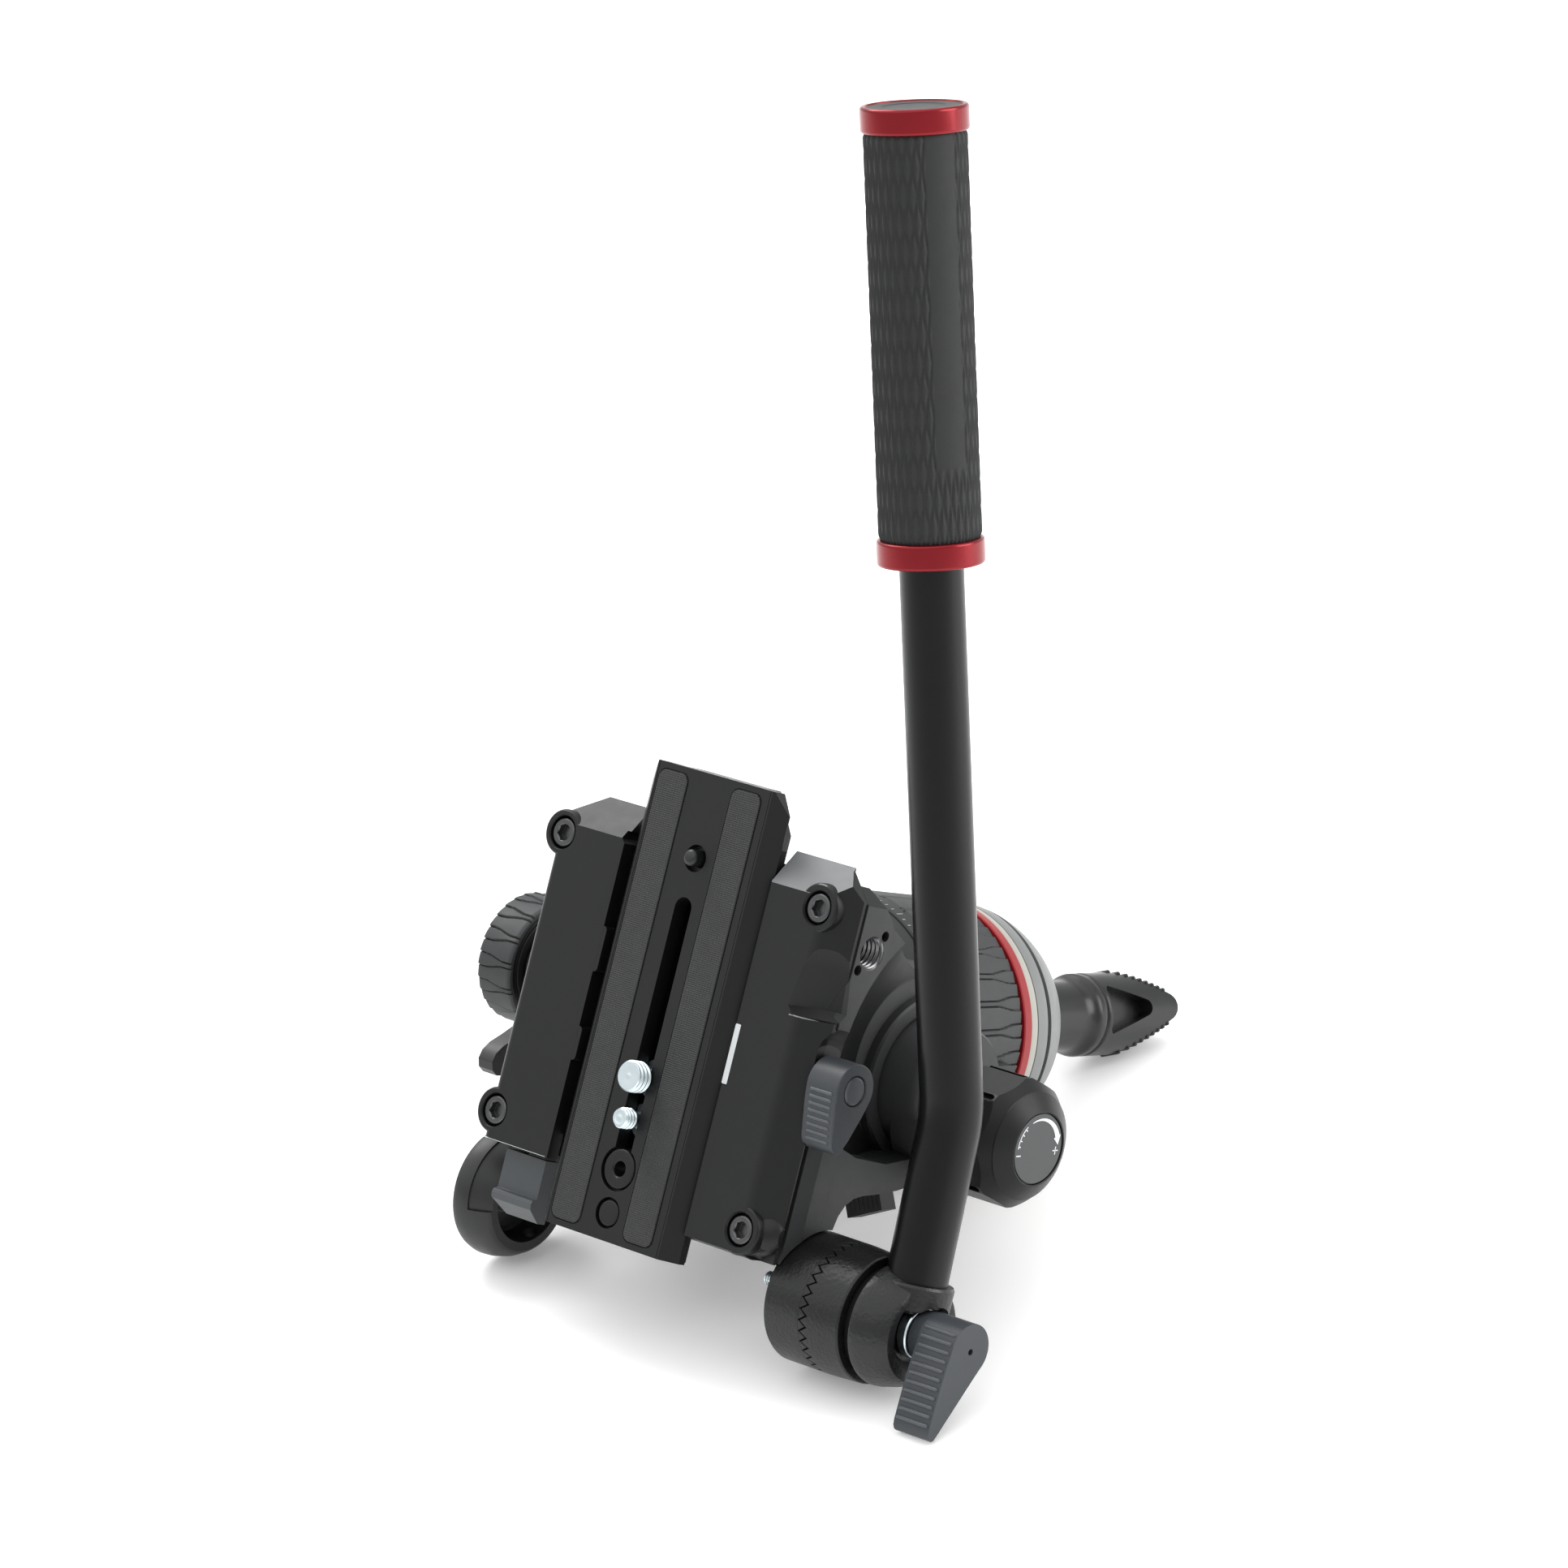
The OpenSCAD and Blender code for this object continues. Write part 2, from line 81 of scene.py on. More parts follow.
def lathe(profile, axis="z", c=(0, 0), seg=96, ring=False):
    """Turns a profile of (radius, height) about an axis; ring closes the profile on itself."""
    k = AX[axis]; v = []; rows = []
    for r, h in profile:
        if r < 1e-6:
            rows.append([len(v)]); v.append(k(c[0], c[1], h))
        else:
            rows.append(list(range(len(v), len(v) + seg)))
            v += [k(c[0] + r * math.cos(2 * math.pi * i / seg), c[1] + r * math.sin(2 * math.pi * i / seg), h) for i in range(seg)]
    f = []
    pairs = list(zip(rows, rows[1:])) + ([(rows[-1], rows[0])] if ring else [])
    for a, b in pairs:
        for i in range(seg):
            j = (i + 1) % seg
            if len(a) == 1 and len(b) == 1: continue
            if len(a) == 1: f.append([a[0], b[j], b[i]])
            elif len(b) == 1: f.append([a[i], a[j], b[0]])
            else: f.append([a[i], a[j], b[j], b[i]])
    if not ring:
        if len(rows[0]) > 1: f.append(rows[0][::-1])
        if len(rows[-1]) > 1: f.append(rows[-1])
    return Solid(v, f)

def cyl(r, lo, hi, axis="z", c=(0, 0), r2=None, seg=96):
    return lathe([(r, lo), (r if r2 is None else r2, hi)], axis, c, seg)

def radial(fn, lo, hi, nseg, nh, axis="z", c=(0, 0), inner=None, hs=None):
    """A skin whose radius is fn(angle, height), closed by flat ends, or by a bore of radius inner."""
    k = AX[axis]; v = []; rows = []
    heights = hs or [lo + (hi - lo) * j / nh for j in range(nh + 1)]
    for h in heights:
        rows.append(list(range(len(v), len(v) + nseg)))
        for i in range(nseg):
            a = 2 * math.pi * i / nseg; r = fn(a, h)
            v.append(k(c[0] + r * math.cos(a), c[1] + r * math.sin(a), h))
    f = []
    if inner is not None:
        for h in (heights[-1], heights[0]):
            rows.append(list(range(len(v), len(v) + nseg)))
            for i in range(nseg):
                a = 2 * math.pi * i / nseg
                v.append(k(c[0] + inner * math.cos(a), c[1] + inner * math.sin(a), h))
        pairs = list(zip(rows, rows[1:] + rows[:1]))
    else:
        pairs = list(zip(rows, rows[1:]))
        f += [rows[0][::-1], rows[-1][:]]
    for a, b in pairs:
        for i in range(nseg):
            j = (i + 1) % nseg
            f.append([a[i], a[j], b[j], b[i]])
    return Solid(v, f)

def mesh_of(s, name="m"):
    if isinstance(s, bpy.types.Mesh): return s
    me = bpy.data.meshes.new(name)
    me.from_pydata([tuple(p) for p in s.v], [], s.f)
    bm = bmesh.new(); bm.from_mesh(me)
    bmesh.ops.recalc_face_normals(bm, faces=bm.faces)
    bm.to_mesh(me); bm.free()
    return me

def joined(*parts):
    """Several closed shells in one solid, not merged."""
    v, f = [], []
    for s in parts:
        n = len(v); v += list(s.v); f += [[i + n for i in q] for q in s.f]
    return Solid(v, f)

def csg(base, *ops):
    """ops are ('+', solid) or ('-', solid), in mm."""
    col = bpy.context.scene.collection
    own = lambda q: q.copy() if isinstance(q, bpy.types.Mesh) else mesh_of(q)
    o = bpy.data.objects.new("tmp", own(base)); col.objects.link(o)
    tmp = [o]
    for sign, s in ops:
        t = bpy.data.objects.new("tmp", own(s)); col.objects.link(t); tmp.append(t)
        m = o.modifiers.new("b", "BOOLEAN")
        m.operation = "UNION" if sign == "+" else "DIFFERENCE" if sign == "-" else "INTERSECT"
        m.object = t; m.solver = "EXACT"
    dg = bpy.context.evaluated_depsgraph_get()
    me = bpy.data.meshes.new_from_object(o.evaluated_get(dg))
    for t in tmp:
        d = t.data; bpy.data.objects.remove(t); bpy.data.meshes.remove(d)
    bm = bmesh.new(); bm.from_mesh(me)
    bmesh.ops.remove_doubles(bm, verts=bm.verts, dist=0.002)
    bmesh.ops.dissolve_limit(bm, angle_limit=math.radians(0.5), verts=bm.verts, edges=bm.edges)
    bm.to_mesh(me); bm.free()
    return me

def piece(name, s, m, body, mat, replaces=(), bevel=0.0, seg=2, limit=32, smooth=True, weighted=True, flat=None):
    me = mesh_of(s, name)
    me.transform(m)
    me.name = name
    o = bpy.data.objects.new(name, me)
    bpy.context.scene.collection.objects.link(o)
    me.materials.clear(); me.materials.append(mat)
    for p in me.polygons: p.use_smooth = smooth; p.material_index = 0
    if smooth: me.set_sharp_from_angle(angle=math.radians(38))
    if bevel:
        b = o.modifiers.new("bevel", "BEVEL"); b.width = bevel * 0.001; b.segments = seg
        b.limit_method = "ANGLE"; b.angle_limit = math.radians(limit); b.use_clamp_overlap = True
        b.miter_outer = "MITER_ARC"; b.harden_normals = False
        if smooth:
            for e in me.edges: e.use_edge_sharp = False
    if flat:
        for p in me.polygons:
            if p.area > flat * 1e-6: p.use_smooth = False
    if weighted and smooth:
        w = o.modifiers.new("normals", "WEIGHTED_NORMAL"); w.keep_sharp = True; w.weight = 60
    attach(o, body)
    if replaces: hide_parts(*([replaces] if isinstance(replaces, str) else replaces))
    return o

# ------------------------------------------------------------------ materials
def shader(name):
    m = bpy.data.materials.new(name); m.use_nodes = True
    nt = m.node_tree; nt.nodes.clear()
    out = nt.nodes.new("ShaderNodeOutputMaterial"); b = nt.nodes.new("ShaderNodeBsdfPrincipled")
    nt.links.new(b.outputs[0], out.inputs[0])
    return m, nt, b

def ramp(nt, src, stops):
    r = nt.nodes.new("ShaderNodeValToRGB"); e = r.color_ramp.elements
    while len(e) < len(stops): e.new(0.5)
    for k, (p, c) in zip(e, stops):
        k.position = p; k.color = (*c, 1) if len(c) == 3 else c
    nt.links.new(src, r.inputs[0])
    return r.outputs[0]

def noise_tex(nt, vec, scale, detail=3, rough=0.55, dist=0.0):
    n = nt.nodes.new("ShaderNodeTexNoise")
    n.inputs["Scale"].default_value = scale; n.inputs["Detail"].default_value = detail
    n.inputs["Roughness"].default_value = rough; n.inputs["Distortion"].default_value = dist
    nt.links.new(vec, n.inputs["Vector"])
    return n.outputs["Fac"]

def surface(name, color, rough, metal=0.0, var=0.16, grain=0.12, gscale=1900, gdist=0.00012, edge_wear_and_sheen=0.0, edge_wear_and_sheen_color=(0.2, 0.2, 0.2),
            spec=0.5, coat=0.0, coat_r=0.2, rvar=0.06, blotch=55, pattern=None, aniso=0.0):
    m, nt, b = shader(name)
    tc = nt.nodes.new("ShaderNodeTexCoord").outputs["Object"]
    big = noise_tex(nt, tc, blotch, 4, 0.6)
    col = ramp(nt, big, [(0.3, tuple(c * (1 - var) for c in color)), (0.7, tuple(c * (1 + var) for c in color))])
    # lightens convex edges by pointiness: edge wear and a painted edge highlight in one; no material here sets it
    if edge_wear_and_sheen:
        g = nt.nodes.new("ShaderNodeNewGeometry").outputs["Pointiness"]
        mask = ramp(nt, g, [(0.515, (0, 0, 0)), (0.60, (1, 1, 1))])
        sp = noise_tex(nt, tc, 420, 3)
        mul = nt.nodes.new("ShaderNodeMath"); mul.operation = "MULTIPLY"
        nt.links.new(mask, mul.inputs[0])
        spr = ramp(nt, sp, [(0.35, (0.35 * edge_wear_and_sheen,) * 3), (0.65, (edge_wear_and_sheen,) * 3)])
        nt.links.new(spr, mul.inputs[1])
        mix = nt.nodes.new("ShaderNodeMix"); mix.data_type = "RGBA"
        nt.links.new(mul.outputs[0], mix.inputs["Factor"])
        nt.links.new(col, mix.inputs["A"]); mix.inputs["B"].default_value = (*edge_wear_and_sheen_color, 1)
        col = mix.outputs["Result"]
    nt.links.new(col, b.inputs["Base Color"])
    rn = noise_tex(nt, tc, 260, 3)
    mr = nt.nodes.new("ShaderNodeMapRange")
    mr.inputs["To Min"].default_value = max(0.03, rough - rvar); mr.inputs["To Max"].default_value = min(1, rough + rvar)
    nt.links.new(rn, mr.inputs["Value"]); nt.links.new(mr.outputs[0], b.inputs["Roughness"])
    b.inputs["Metallic"].default_value = metal
    b.inputs["Specular IOR Level"].default_value = spec
    b.inputs["Coat Weight"].default_value = coat; b.inputs["Coat Roughness"].default_value = coat_r
    h = pattern(nt, tc) if pattern else noise_tex(nt, tc, gscale, 2, 0.5)
    bp = nt.nodes.new("ShaderNodeBump"); bp.inputs["Strength"].default_value = grain; bp.inputs["Distance"].default_value = gdist
    nt.links.new(h, bp.inputs["Height"]); nt.links.new(bp.outputs[0], b.inputs["Normal"])
    return m

def leather(nt, tc):
    v = nt.nodes.new("ShaderNodeTexVoronoi"); v.feature = "SMOOTH_F1"; v.inputs["Scale"].default_value = 900
    w = nt.nodes.new("ShaderNodeVectorMath"); w.operation = "ADD"
    n = nt.nodes.new("ShaderNodeTexNoise"); n.inputs["Scale"].default_value = 500; n.inputs["Detail"].default_value = 2
    nt.links.new(tc, n.inputs["Vector"])
    sc = nt.nodes.new("ShaderNodeVectorMath"); sc.operation = "SCALE"; sc.inputs["Scale"].default_value = 0.0012
    nt.links.new(n.outputs["Color"], sc.inputs[0])
    nt.links.new(tc, w.inputs[0]); nt.links.new(sc.outputs[0], w.inputs[1]); nt.links.new(w.outputs[0], v.inputs["Vector"])
    return v.outputs["Distance"]

def plat_vec(nt, tc):
    """Object coordinates turned into the platform's own directions, in mm."""
    mp = nt.nodes.new("ShaderNodeMapping"); mp.vector_type = "TEXTURE"
    mp.inputs["Rotation"].default_value = (math.radians(-8.2), 0, 0); mp.inputs["Scale"].default_value = (0.001,) * 3
    nt.links.new(tc, mp.inputs["Vector"])
    return mp.outputs[0]

def weave(nt, tc):
    s = nt.nodes.new("ShaderNodeSeparateXYZ"); nt.links.new(plat_vec(nt, tc), s.inputs[0])
    def sine(src, k, ph=None):
        a = nt.nodes.new("ShaderNodeMath"); a.operation = "MULTIPLY"; a.inputs[1].default_value = k
        nt.links.new(src, a.inputs[0]); x = a.outputs[0]
        if ph is not None:
            ad = nt.nodes.new("ShaderNodeMath"); ad.operation = "ADD"; nt.links.new(x, ad.inputs[0]); nt.links.new(ph, ad.inputs[1]); x = ad.outputs[0]
        n = nt.nodes.new("ShaderNodeMath"); n.operation = "SINE"; nt.links.new(x, n.inputs[0]); return n.outputs[0]
    nz = noise_tex(nt, tc, 900, 3)
    amp = nt.nodes.new("ShaderNodeMath"); amp.operation = "MULTIPLY"; amp.inputs[1].default_value = 2.4; nt.links.new(nz, amp.inputs[0])
    a = sine(s.outputs["Y"], 2 * math.pi / 0.62, amp.outputs[0]); b2 = sine(s.outputs["X"], 2 * math.pi / 1.1, amp.outputs[0])
    mu = nt.nodes.new("ShaderNodeMath"); mu.operation = "MULTIPLY_ADD"
    nt.links.new(b2, mu.inputs[0]); mu.inputs[1].default_value = 0.35; nt.links.new(a, mu.inputs[2])
    return mu.outputs[0]

CAST = surface("casting", (0.0055, 0.0058, 0.0062), 0.38, var=0.05, grain=0.10, gscale=1500, spec=0.3)
# lighter copy of the black casting: painted sheen for the right wing's front facet, standing in for the light's
# reflection there
CAST_PAINTED_SHEEN = surface("casting_painted_sheen", (0.112, 0.118, 0.122), 0.42, var=0.05, grain=0.08, gscale=1700, spec=0.42)
CUP = surface("casting_cup", (0.0115, 0.0119, 0.0124), 0.42, var=0.05, grain=0.06, gscale=1700, spec=0.4)
# lighter copy of the black casting: painted fill light lifting the shade on the deck, arms, pan housing and left tilt
# hub
CAST_PAINTED_FILL = surface("casting_painted_fill", (0.0165, 0.0173, 0.0182), 0.5, var=0.05, grain=0.12, gscale=1300, spec=0.42)
GRAIN = surface("casting_grained", (0.0065, 0.0068, 0.0072), 0.36, var=0.06, grain=0.5, gdist=0.00022, pattern=leather, spec=0.34)
PLATE = surface("plate_anodised", (0.0052, 0.0054, 0.0058), 0.38, var=0.05, grain=0.06, gscale=2600, spec=0.3)
PAD = surface("pad_rubber", (0.0135, 0.0139, 0.0142), 0.62, var=0.06, grain=0.6, gdist=0.0002, pattern=weave, spec=0.4)
SLATE = surface("slate_plastic", (0.034, 0.0382, 0.0436), 0.42, var=0.04, grain=0.12, gscale=2200, spec=0.4)
RUBBER = surface("ribbed_rubber", (0.03, 0.0312, 0.0325), 0.55, var=0.06, grain=0.14, gscale=2400, spec=0.42)
GRIP = surface("grip_rubber", (0.0155, 0.016, 0.0162), 0.66, var=0.05, grain=0.14, gscale=2400, spec=0.36)
PLASTIC = surface("black_plastic", (0.009, 0.0094, 0.01), 0.42, var=0.06, grain=0.12, gscale=1700, spec=0.42)
TUBE = surface("tube_anodised", (0.0024, 0.0025, 0.0027), 0.3, var=0.05, grain=0.03, gscale=2600, spec=0.24)
# much lighter copy of the black casting: painted fill light on the shaded counterbalance housing
HUB_PAINTED_FILL = surface("casting_hub_painted_fill", (0.034, 0.0353, 0.037), 0.5, var=0.05, grain=0.1, gscale=1500, spec=0.4)
RED = surface("red_anodised", (0.21, 0.005, 0.01), 0.23, metal=0.55, var=0.05, grain=0.05, gscale=2600)
ZINC = surface("zinc", (0.62, 0.7, 0.73), 0.3, metal=1.0, var=0.05, grain=0.06, gscale=2200)
STEEL = surface("turned_steel", (0.42, 0.43, 0.45), 0.3, metal=1.0, var=0.1, grain=0.08, gscale=1600)
OXIDE = surface("black_oxide", (0.085, 0.086, 0.088), 0.3, metal=0.9, var=0.2, grain=0.14, gscale=1400)
BALL = surface("ball_anodised", (0.165, 0.172, 0.17), 0.44, metal=0.1, var=0.04, grain=0.06, gscale=2200)
CREAM = surface("cream_plastic", (0.33, 0.32, 0.285), 0.5, var=0.05, grain=0.08)
DISC = surface("dial_disc", (0.038, 0.04, 0.0415), 0.45, var=0.05, grain=0.08, gscale=2600)
WHITE = surface("white_mark", (0.62, 0.64, 0.65), 0.5, var=0.05, grain=0.06)
# near black: painted shade, used on the spacer in the groove between the clamp halves
GAP_PAINTED_SHADE = surface("gap_painted_shade", (0.003, 0.003, 0.0034), 0.6, var=0.1, grain=0.05, spec=0.15)
PIN = surface("pin_black", (0.012, 0.0125, 0.013), 0.34, metal=0.2, var=0.12, grain=0.06)
STRIP = surface("zinc_strip", (0.66, 0.68, 0.69), 0.34, metal=1.0, var=0.06, grain=0.08, gscale=1800)
SOCKET = surface("socket_thread", (0.2, 0.2, 0.205), 0.3, metal=1.0, var=0.15, grain=0.05)
# lighter copy of the slate plastic for the raised ribs: painted highlight on the rib tops
SLATE_RIB_PAINTED_HIGHLIGHT = surface("slate_ribs_painted_highlight", (0.056, 0.062, 0.07), 0.4, var=0.05, grain=0.1, gscale=2200)
SLATE_CAP = surface("slate_cap", (0.044, 0.049, 0.056), 0.4, var=0.05, grain=0.1, gscale=2200)
GRAIN2 = surface("casting_grained_outer", (0.0075, 0.0078, 0.0084), 0.34, var=0.06, grain=0.5, gdist=0.00022, pattern=leather, spec=0.38)
KNOB = surface("knob_plastic", (0.0062, 0.0064, 0.0068), 0.4, var=0.06, grain=0.08, gscale=1900, spec=0.24)
TIE = surface("tie_plastic", (0.0065, 0.0068, 0.0072), 0.3, var=0.03, grain=0.03, gscale=1700, spec=0.42)
BUTTON = surface("button_plastic", (0.043, 0.048, 0.052), 0.4, var=0.04, grain=0.1, gscale=2200, spec=0.45)
# light metal: painted highlight line for the left wing's rear edge bevel
EDGE_PAINTED_HIGHLIGHT = surface("edge_painted_highlight", (0.5, 0.51, 0.52), 0.4, metal=0.6, var=0.1, grain=0.06)
RED2 = surface("red_plastic", (0.25, 0.008, 0.012), 0.42, var=0.05, grain=0.06, gscale=2400, spec=0.28)
# mid grey for the pan's printed scale ticks, also the painted highlight line on the right wing's ridge
MARK_AND_HIGHLIGHT_GREY = surface("scale_mark_and_painted_highlight", (0.2, 0.205, 0.21), 0.5, var=0.05, grain=0.06)
VIAL = surface("vial_fluid", (0.42, 0.5, 0.09), 0.08, var=0.1, grain=0.02, coat=0.8, coat_r=0.04)

# ------------------------------------------------------------------ camera of the photograph
cam = bpy.data.cameras.new("camera"); co = bpy.data.objects.new("camera", cam)
bpy.context.scene.collection.objects.link(co)
rt = Vector((0.729448, 0.146903, -0.668076)); dn = Vector((0.205177, -0.978685, 0.008823)); fw = Vector((-0.65254, -0.14351, -0.744041))
co.matrix_world = Matrix(((rt.x, -dn.x, -fw.x, 1.388961), (rt.y, -dn.y, -fw.y, 0.380432), (rt.z, -dn.z, -fw.z, 1.670413), (0, 0, 0, 1)))
cam.sensor_width = 36; cam.sensor_fit = "HORIZONTAL"; cam.lens = 36 * 8900 / 1932
cam.clip_start = 0.05; cam.clip_end = 30
bpy.context.scene.camera = co
bpy.context.scene.view_settings.view_transform = "Standard"
bpy.context.scene.view_settings.look = "None"

# ------------------------------------------------------------------ more shapes
def arc(c, r, a0, a1, n=12):
    return [(c[0] + r * math.cos(math.radians(a0 + (a1 - a0) * i / n)), c[1] + r * math.sin(math.radians(a0 + (a1 - a0) * i / n))) for i in range(n + 1)]

def orb(c, rx, ry, rz, n=14, seg=32):
    pr = [(math.sin(math.pi * i / n), -math.cos(math.pi * i / n)) for i in range(n + 1)]
    pr[0] = (0, -1); pr[-1] = (0, 1)
    return lathe(pr, "z", (0, 0), seg).mv(T(*c) @ Matrix.Diagonal((rx, ry, rz, 1)))

def step(x, a, b):
    t = min(1.0, max(0.0, (x - a) / (b - a)))
    return t * t * (3 - 2 * t)

def thread(r, depth, pitch, lo, hi, chamfer=0.8, seg=56, axis="z", c=(0, 0), rows=0.11, bottom=0.5):
    def fn(a, h):
        t = abs(2 * ((h / pitch - a / (2 * math.pi)) % 1.0) - 1)
        q = r - depth * step(t, 0.12, 0.8)
        if h > hi - chamfer: q = min(q, r - 0.85 * (h - hi + chamfer))
        if h < lo + bottom: q = min(q, r - 0.6 * (lo + bottom - h))
        return q
    return radial(fn, lo, hi, seg, max(4, int((hi - lo) / rows)), axis, c)

def bored_thread(r, depth, pitch, outer, lo, hi, axis="x", c=(0, 0), seg=56, rows=0.12):
    def fn(a, h):
        t = abs(2 * ((h / pitch - a / (2 * math.pi)) % 1.0) - 1)
        q = r + depth * step(t, 0.1, 0.85)
        if h > hi - 0.6: q = max(q, r + depth * 0.6 + (h - hi + 0.6))
        return q
    return radial(fn, lo, hi, seg, int((hi - lo) / rows), axis, c, inner=outer)

def sweep(points, r, seg=56):
    """A tube of radius r through points, with flat ends."""
    pts = [Vector(p) for p in points]; v = []; n = len(pts)
    up = Vector((0, 0, 1)) if abs((pts[1] - pts[0]).normalized().x) > 0.8 else Vector((1, 0, 0))
    for i, p in enumerate(pts):
        t = (pts[min(i + 1, n - 1)] - pts[max(i - 1, 0)]).normalized()
        up = (up - t * up.dot(t)).normalized(); w = t.cross(up)
        v += [p + (up * math.cos(2 * math.pi * k / seg) + w * math.sin(2 * math.pi * k / seg)) * r for k in range(seg)]
    f = [list(range(seg))[::-1], list(range((n - 1) * seg, n * seg))]
    for i in range(n - 1):
        for k in range(seg):
            j = (k + 1) % seg
            f.append([i * seg + k, i * seg + j, (i + 1) * seg + j, (i + 1) * seg + k])
    return Solid(v, f)

def rib(p, q, r, seg=10):
    """A rounded bar between two points."""
    p, q = Vector(p), Vector(q); d = (q - p).normalized()
    pts = [(math.sin(math.pi / 2 * i / 3), -math.cos(math.pi / 2 * i / 3)) for i in range(4)]
    L = (q - p).length
    prof = [(0, -r)] + [(r * a, r * b) for a, b in pts[1:]] + [(r * a, L - r * b) for a, b in pts[::-1][:-1]] + [(0, L + r)]
    return lathe(prof, "z", (0, 0), seg).mv(T(*p) @ d.to_track_quat("Z", "Y").to_matrix().to_4x4())

# ------------------------------------------------------------------ camera plate
PAD_X = {-1: -15.7, 1: 13.6}
slot_out = [(3.25, -46)] + arc((0, 30), 3.25, 0, 180, 18) + [(-3.25, -46)]
ops = []
for s in (-1, 1):
    ops.append(("-", prism(rrect(PAD_X[s] - 6.1, PAD_X[s] + 6.1, -68.2, 68.2, 3.0, 8), -0.95, 2)))
    ops.append(("-", block(-12, 12, 0, 12, -14, 1).mv(T(s * 23.2, 70.3, 0) @ RZ(-s * 56))))
    ops.append(("-", block(-16, 16, -6.5, 12, -14, -4.9).mv(T(s * 23.2, 70.3, 0) @ RZ(-s * 56))))
    ops.append(("-", prism([(s * 22.1, 0.3), (s * 22.5, 0.3), (s * 22.3, -0.25)], -71, 71, "y")))
ops += [("-", prism(slot_out, -13, 1)), ("-", block(-6.6, 6.6, -42.5, 36, -13, -5)),
        ("-", cyl(6.7, -2, 1, c=(0, -48.5), seg=64)), ("-", cyl(3.05, -13, 1, c=(0, -48.5), seg=48)),
        ("-", cyl(4.65, -2.6, 1, c=(0, -61.8), seg=56)), ("-", cyl(4.05, -2.5, 1, c=(0, 45), seg=56)),
        ("-", cyl(2.6, -13, 1, c=(0, 45), seg=40)), ("-", cyl(4.1, -13, -3.4, c=(0, 45), seg=40)),
        ("-", block(-20.5, -9.5, -60, 60, -13, -10.6)), ("-", block(9.5, 20.5, -60, 60, -13, -10.6))]
plate_poly = [(-23, 0), (23, 0), (27.5, -4.5), (27.5, -7), (23.5, -11), (23.5, -12), (-23.5, -12), (-23.5, -11), (-27.5, -7), (-27.5, -4.5)]
piece("vis_camera_plate", csg(prism(plate_poly, -70, 70, "y"), *ops), PLAT, "plate", PLATE, "camera_plate", bevel=0.3, seg=2)
for s, nm in ((-1, "left"), (1, "right")):
    piece("vis_pad_" + nm, prism(rrect(PAD_X[s] - 5.8, PAD_X[s] + 5.8, -67.9, 67.9, 2.7, 8), -0.75, 0.3), PLAT, "plate", PAD, "pad_" + nm, bevel=0.3, seg=3)
piece("vis_plate_bush", lathe([(2.25, -0.7), (2.7, -0.25), (5.3, -0.2), (5.75, -0.35), (6.0, -0.75), (6.0, -1.9), (3.0, -1.9), (3.0, -11.5), (2.25, -11.5)], c=(0, -48.5), seg=72, ring=True),
      PLAT, "plate", PLATE, "plate_bush", bevel=0.12)
piece("vis_plate_plug", lathe([(0, -0.35), (3.2, -0.3), (3.75, -0.45), (4.0, -0.8), (4.0, -2.5), (0, -2.5)], c=(0, -61.8), seg=64), PLAT, "plate", PLATE, "plate_plug", bevel=0.1)
piece("vis_anti_twist_pin", lathe([(0, 3.0), (1.3, 2.97), (2.0, 2.75), (2.4, 2.25), (2.5, 1.7), (2.5, -6.6), (4.0, -6.6), (4.0, -8), (0, -8)], c=(0, 45), seg=48), PLAT, "twist_pin", PIN, "anti_twist_pin")

def camera_screw(name, body, y, r, depth, pitch, shank, flange, top):
    th = thread(r, depth, pitch, 0.35, top, 0.75, 60, "z", (0, y), 0.1)
    low = lathe([(0, -11.5), (flange - 0.5, -11.5), (flange, -11.0), (flange, -5.9), (flange - 0.4, -5.5), (shank, -5.5), (shank, 0.75), (0, 0.75)], c=(0, y), seg=48)
    cap = lathe([(0, top + 0.02), (0.8, top + 0.03), (1.25, top - 0.06), (1.6, top + 0.02), (r - 1.0, top + 0.02), (r - 0.95, top - 0.3), (0, top - 0.3)], c=(0, y), seg=48)
    o = piece("vis_" + name, joined(th, low, cap), PLAT, body, ZINC, name)
camera_screw("screw_38", "camera_screw_38", -21, 4.76, 0.62, 1.588, 3.15, 6.0, 5.57)
camera_screw("screw_14", "camera_screw_14", -33.5, 3.175, 0.5, 1.27, 2.6, 5.4, 4.97)

# ------------------------------------------------------------------ wings
def counterbore(x, y, top):
    return lathe([(0, top + 3), (6.6, top + 3), (5.35, top + 0.02), (5.0, top - 0.5), (5.0, -6.0), (2.7, -6.0), (2.7, -11), (0, -11)], c=(x, y), seg=64)

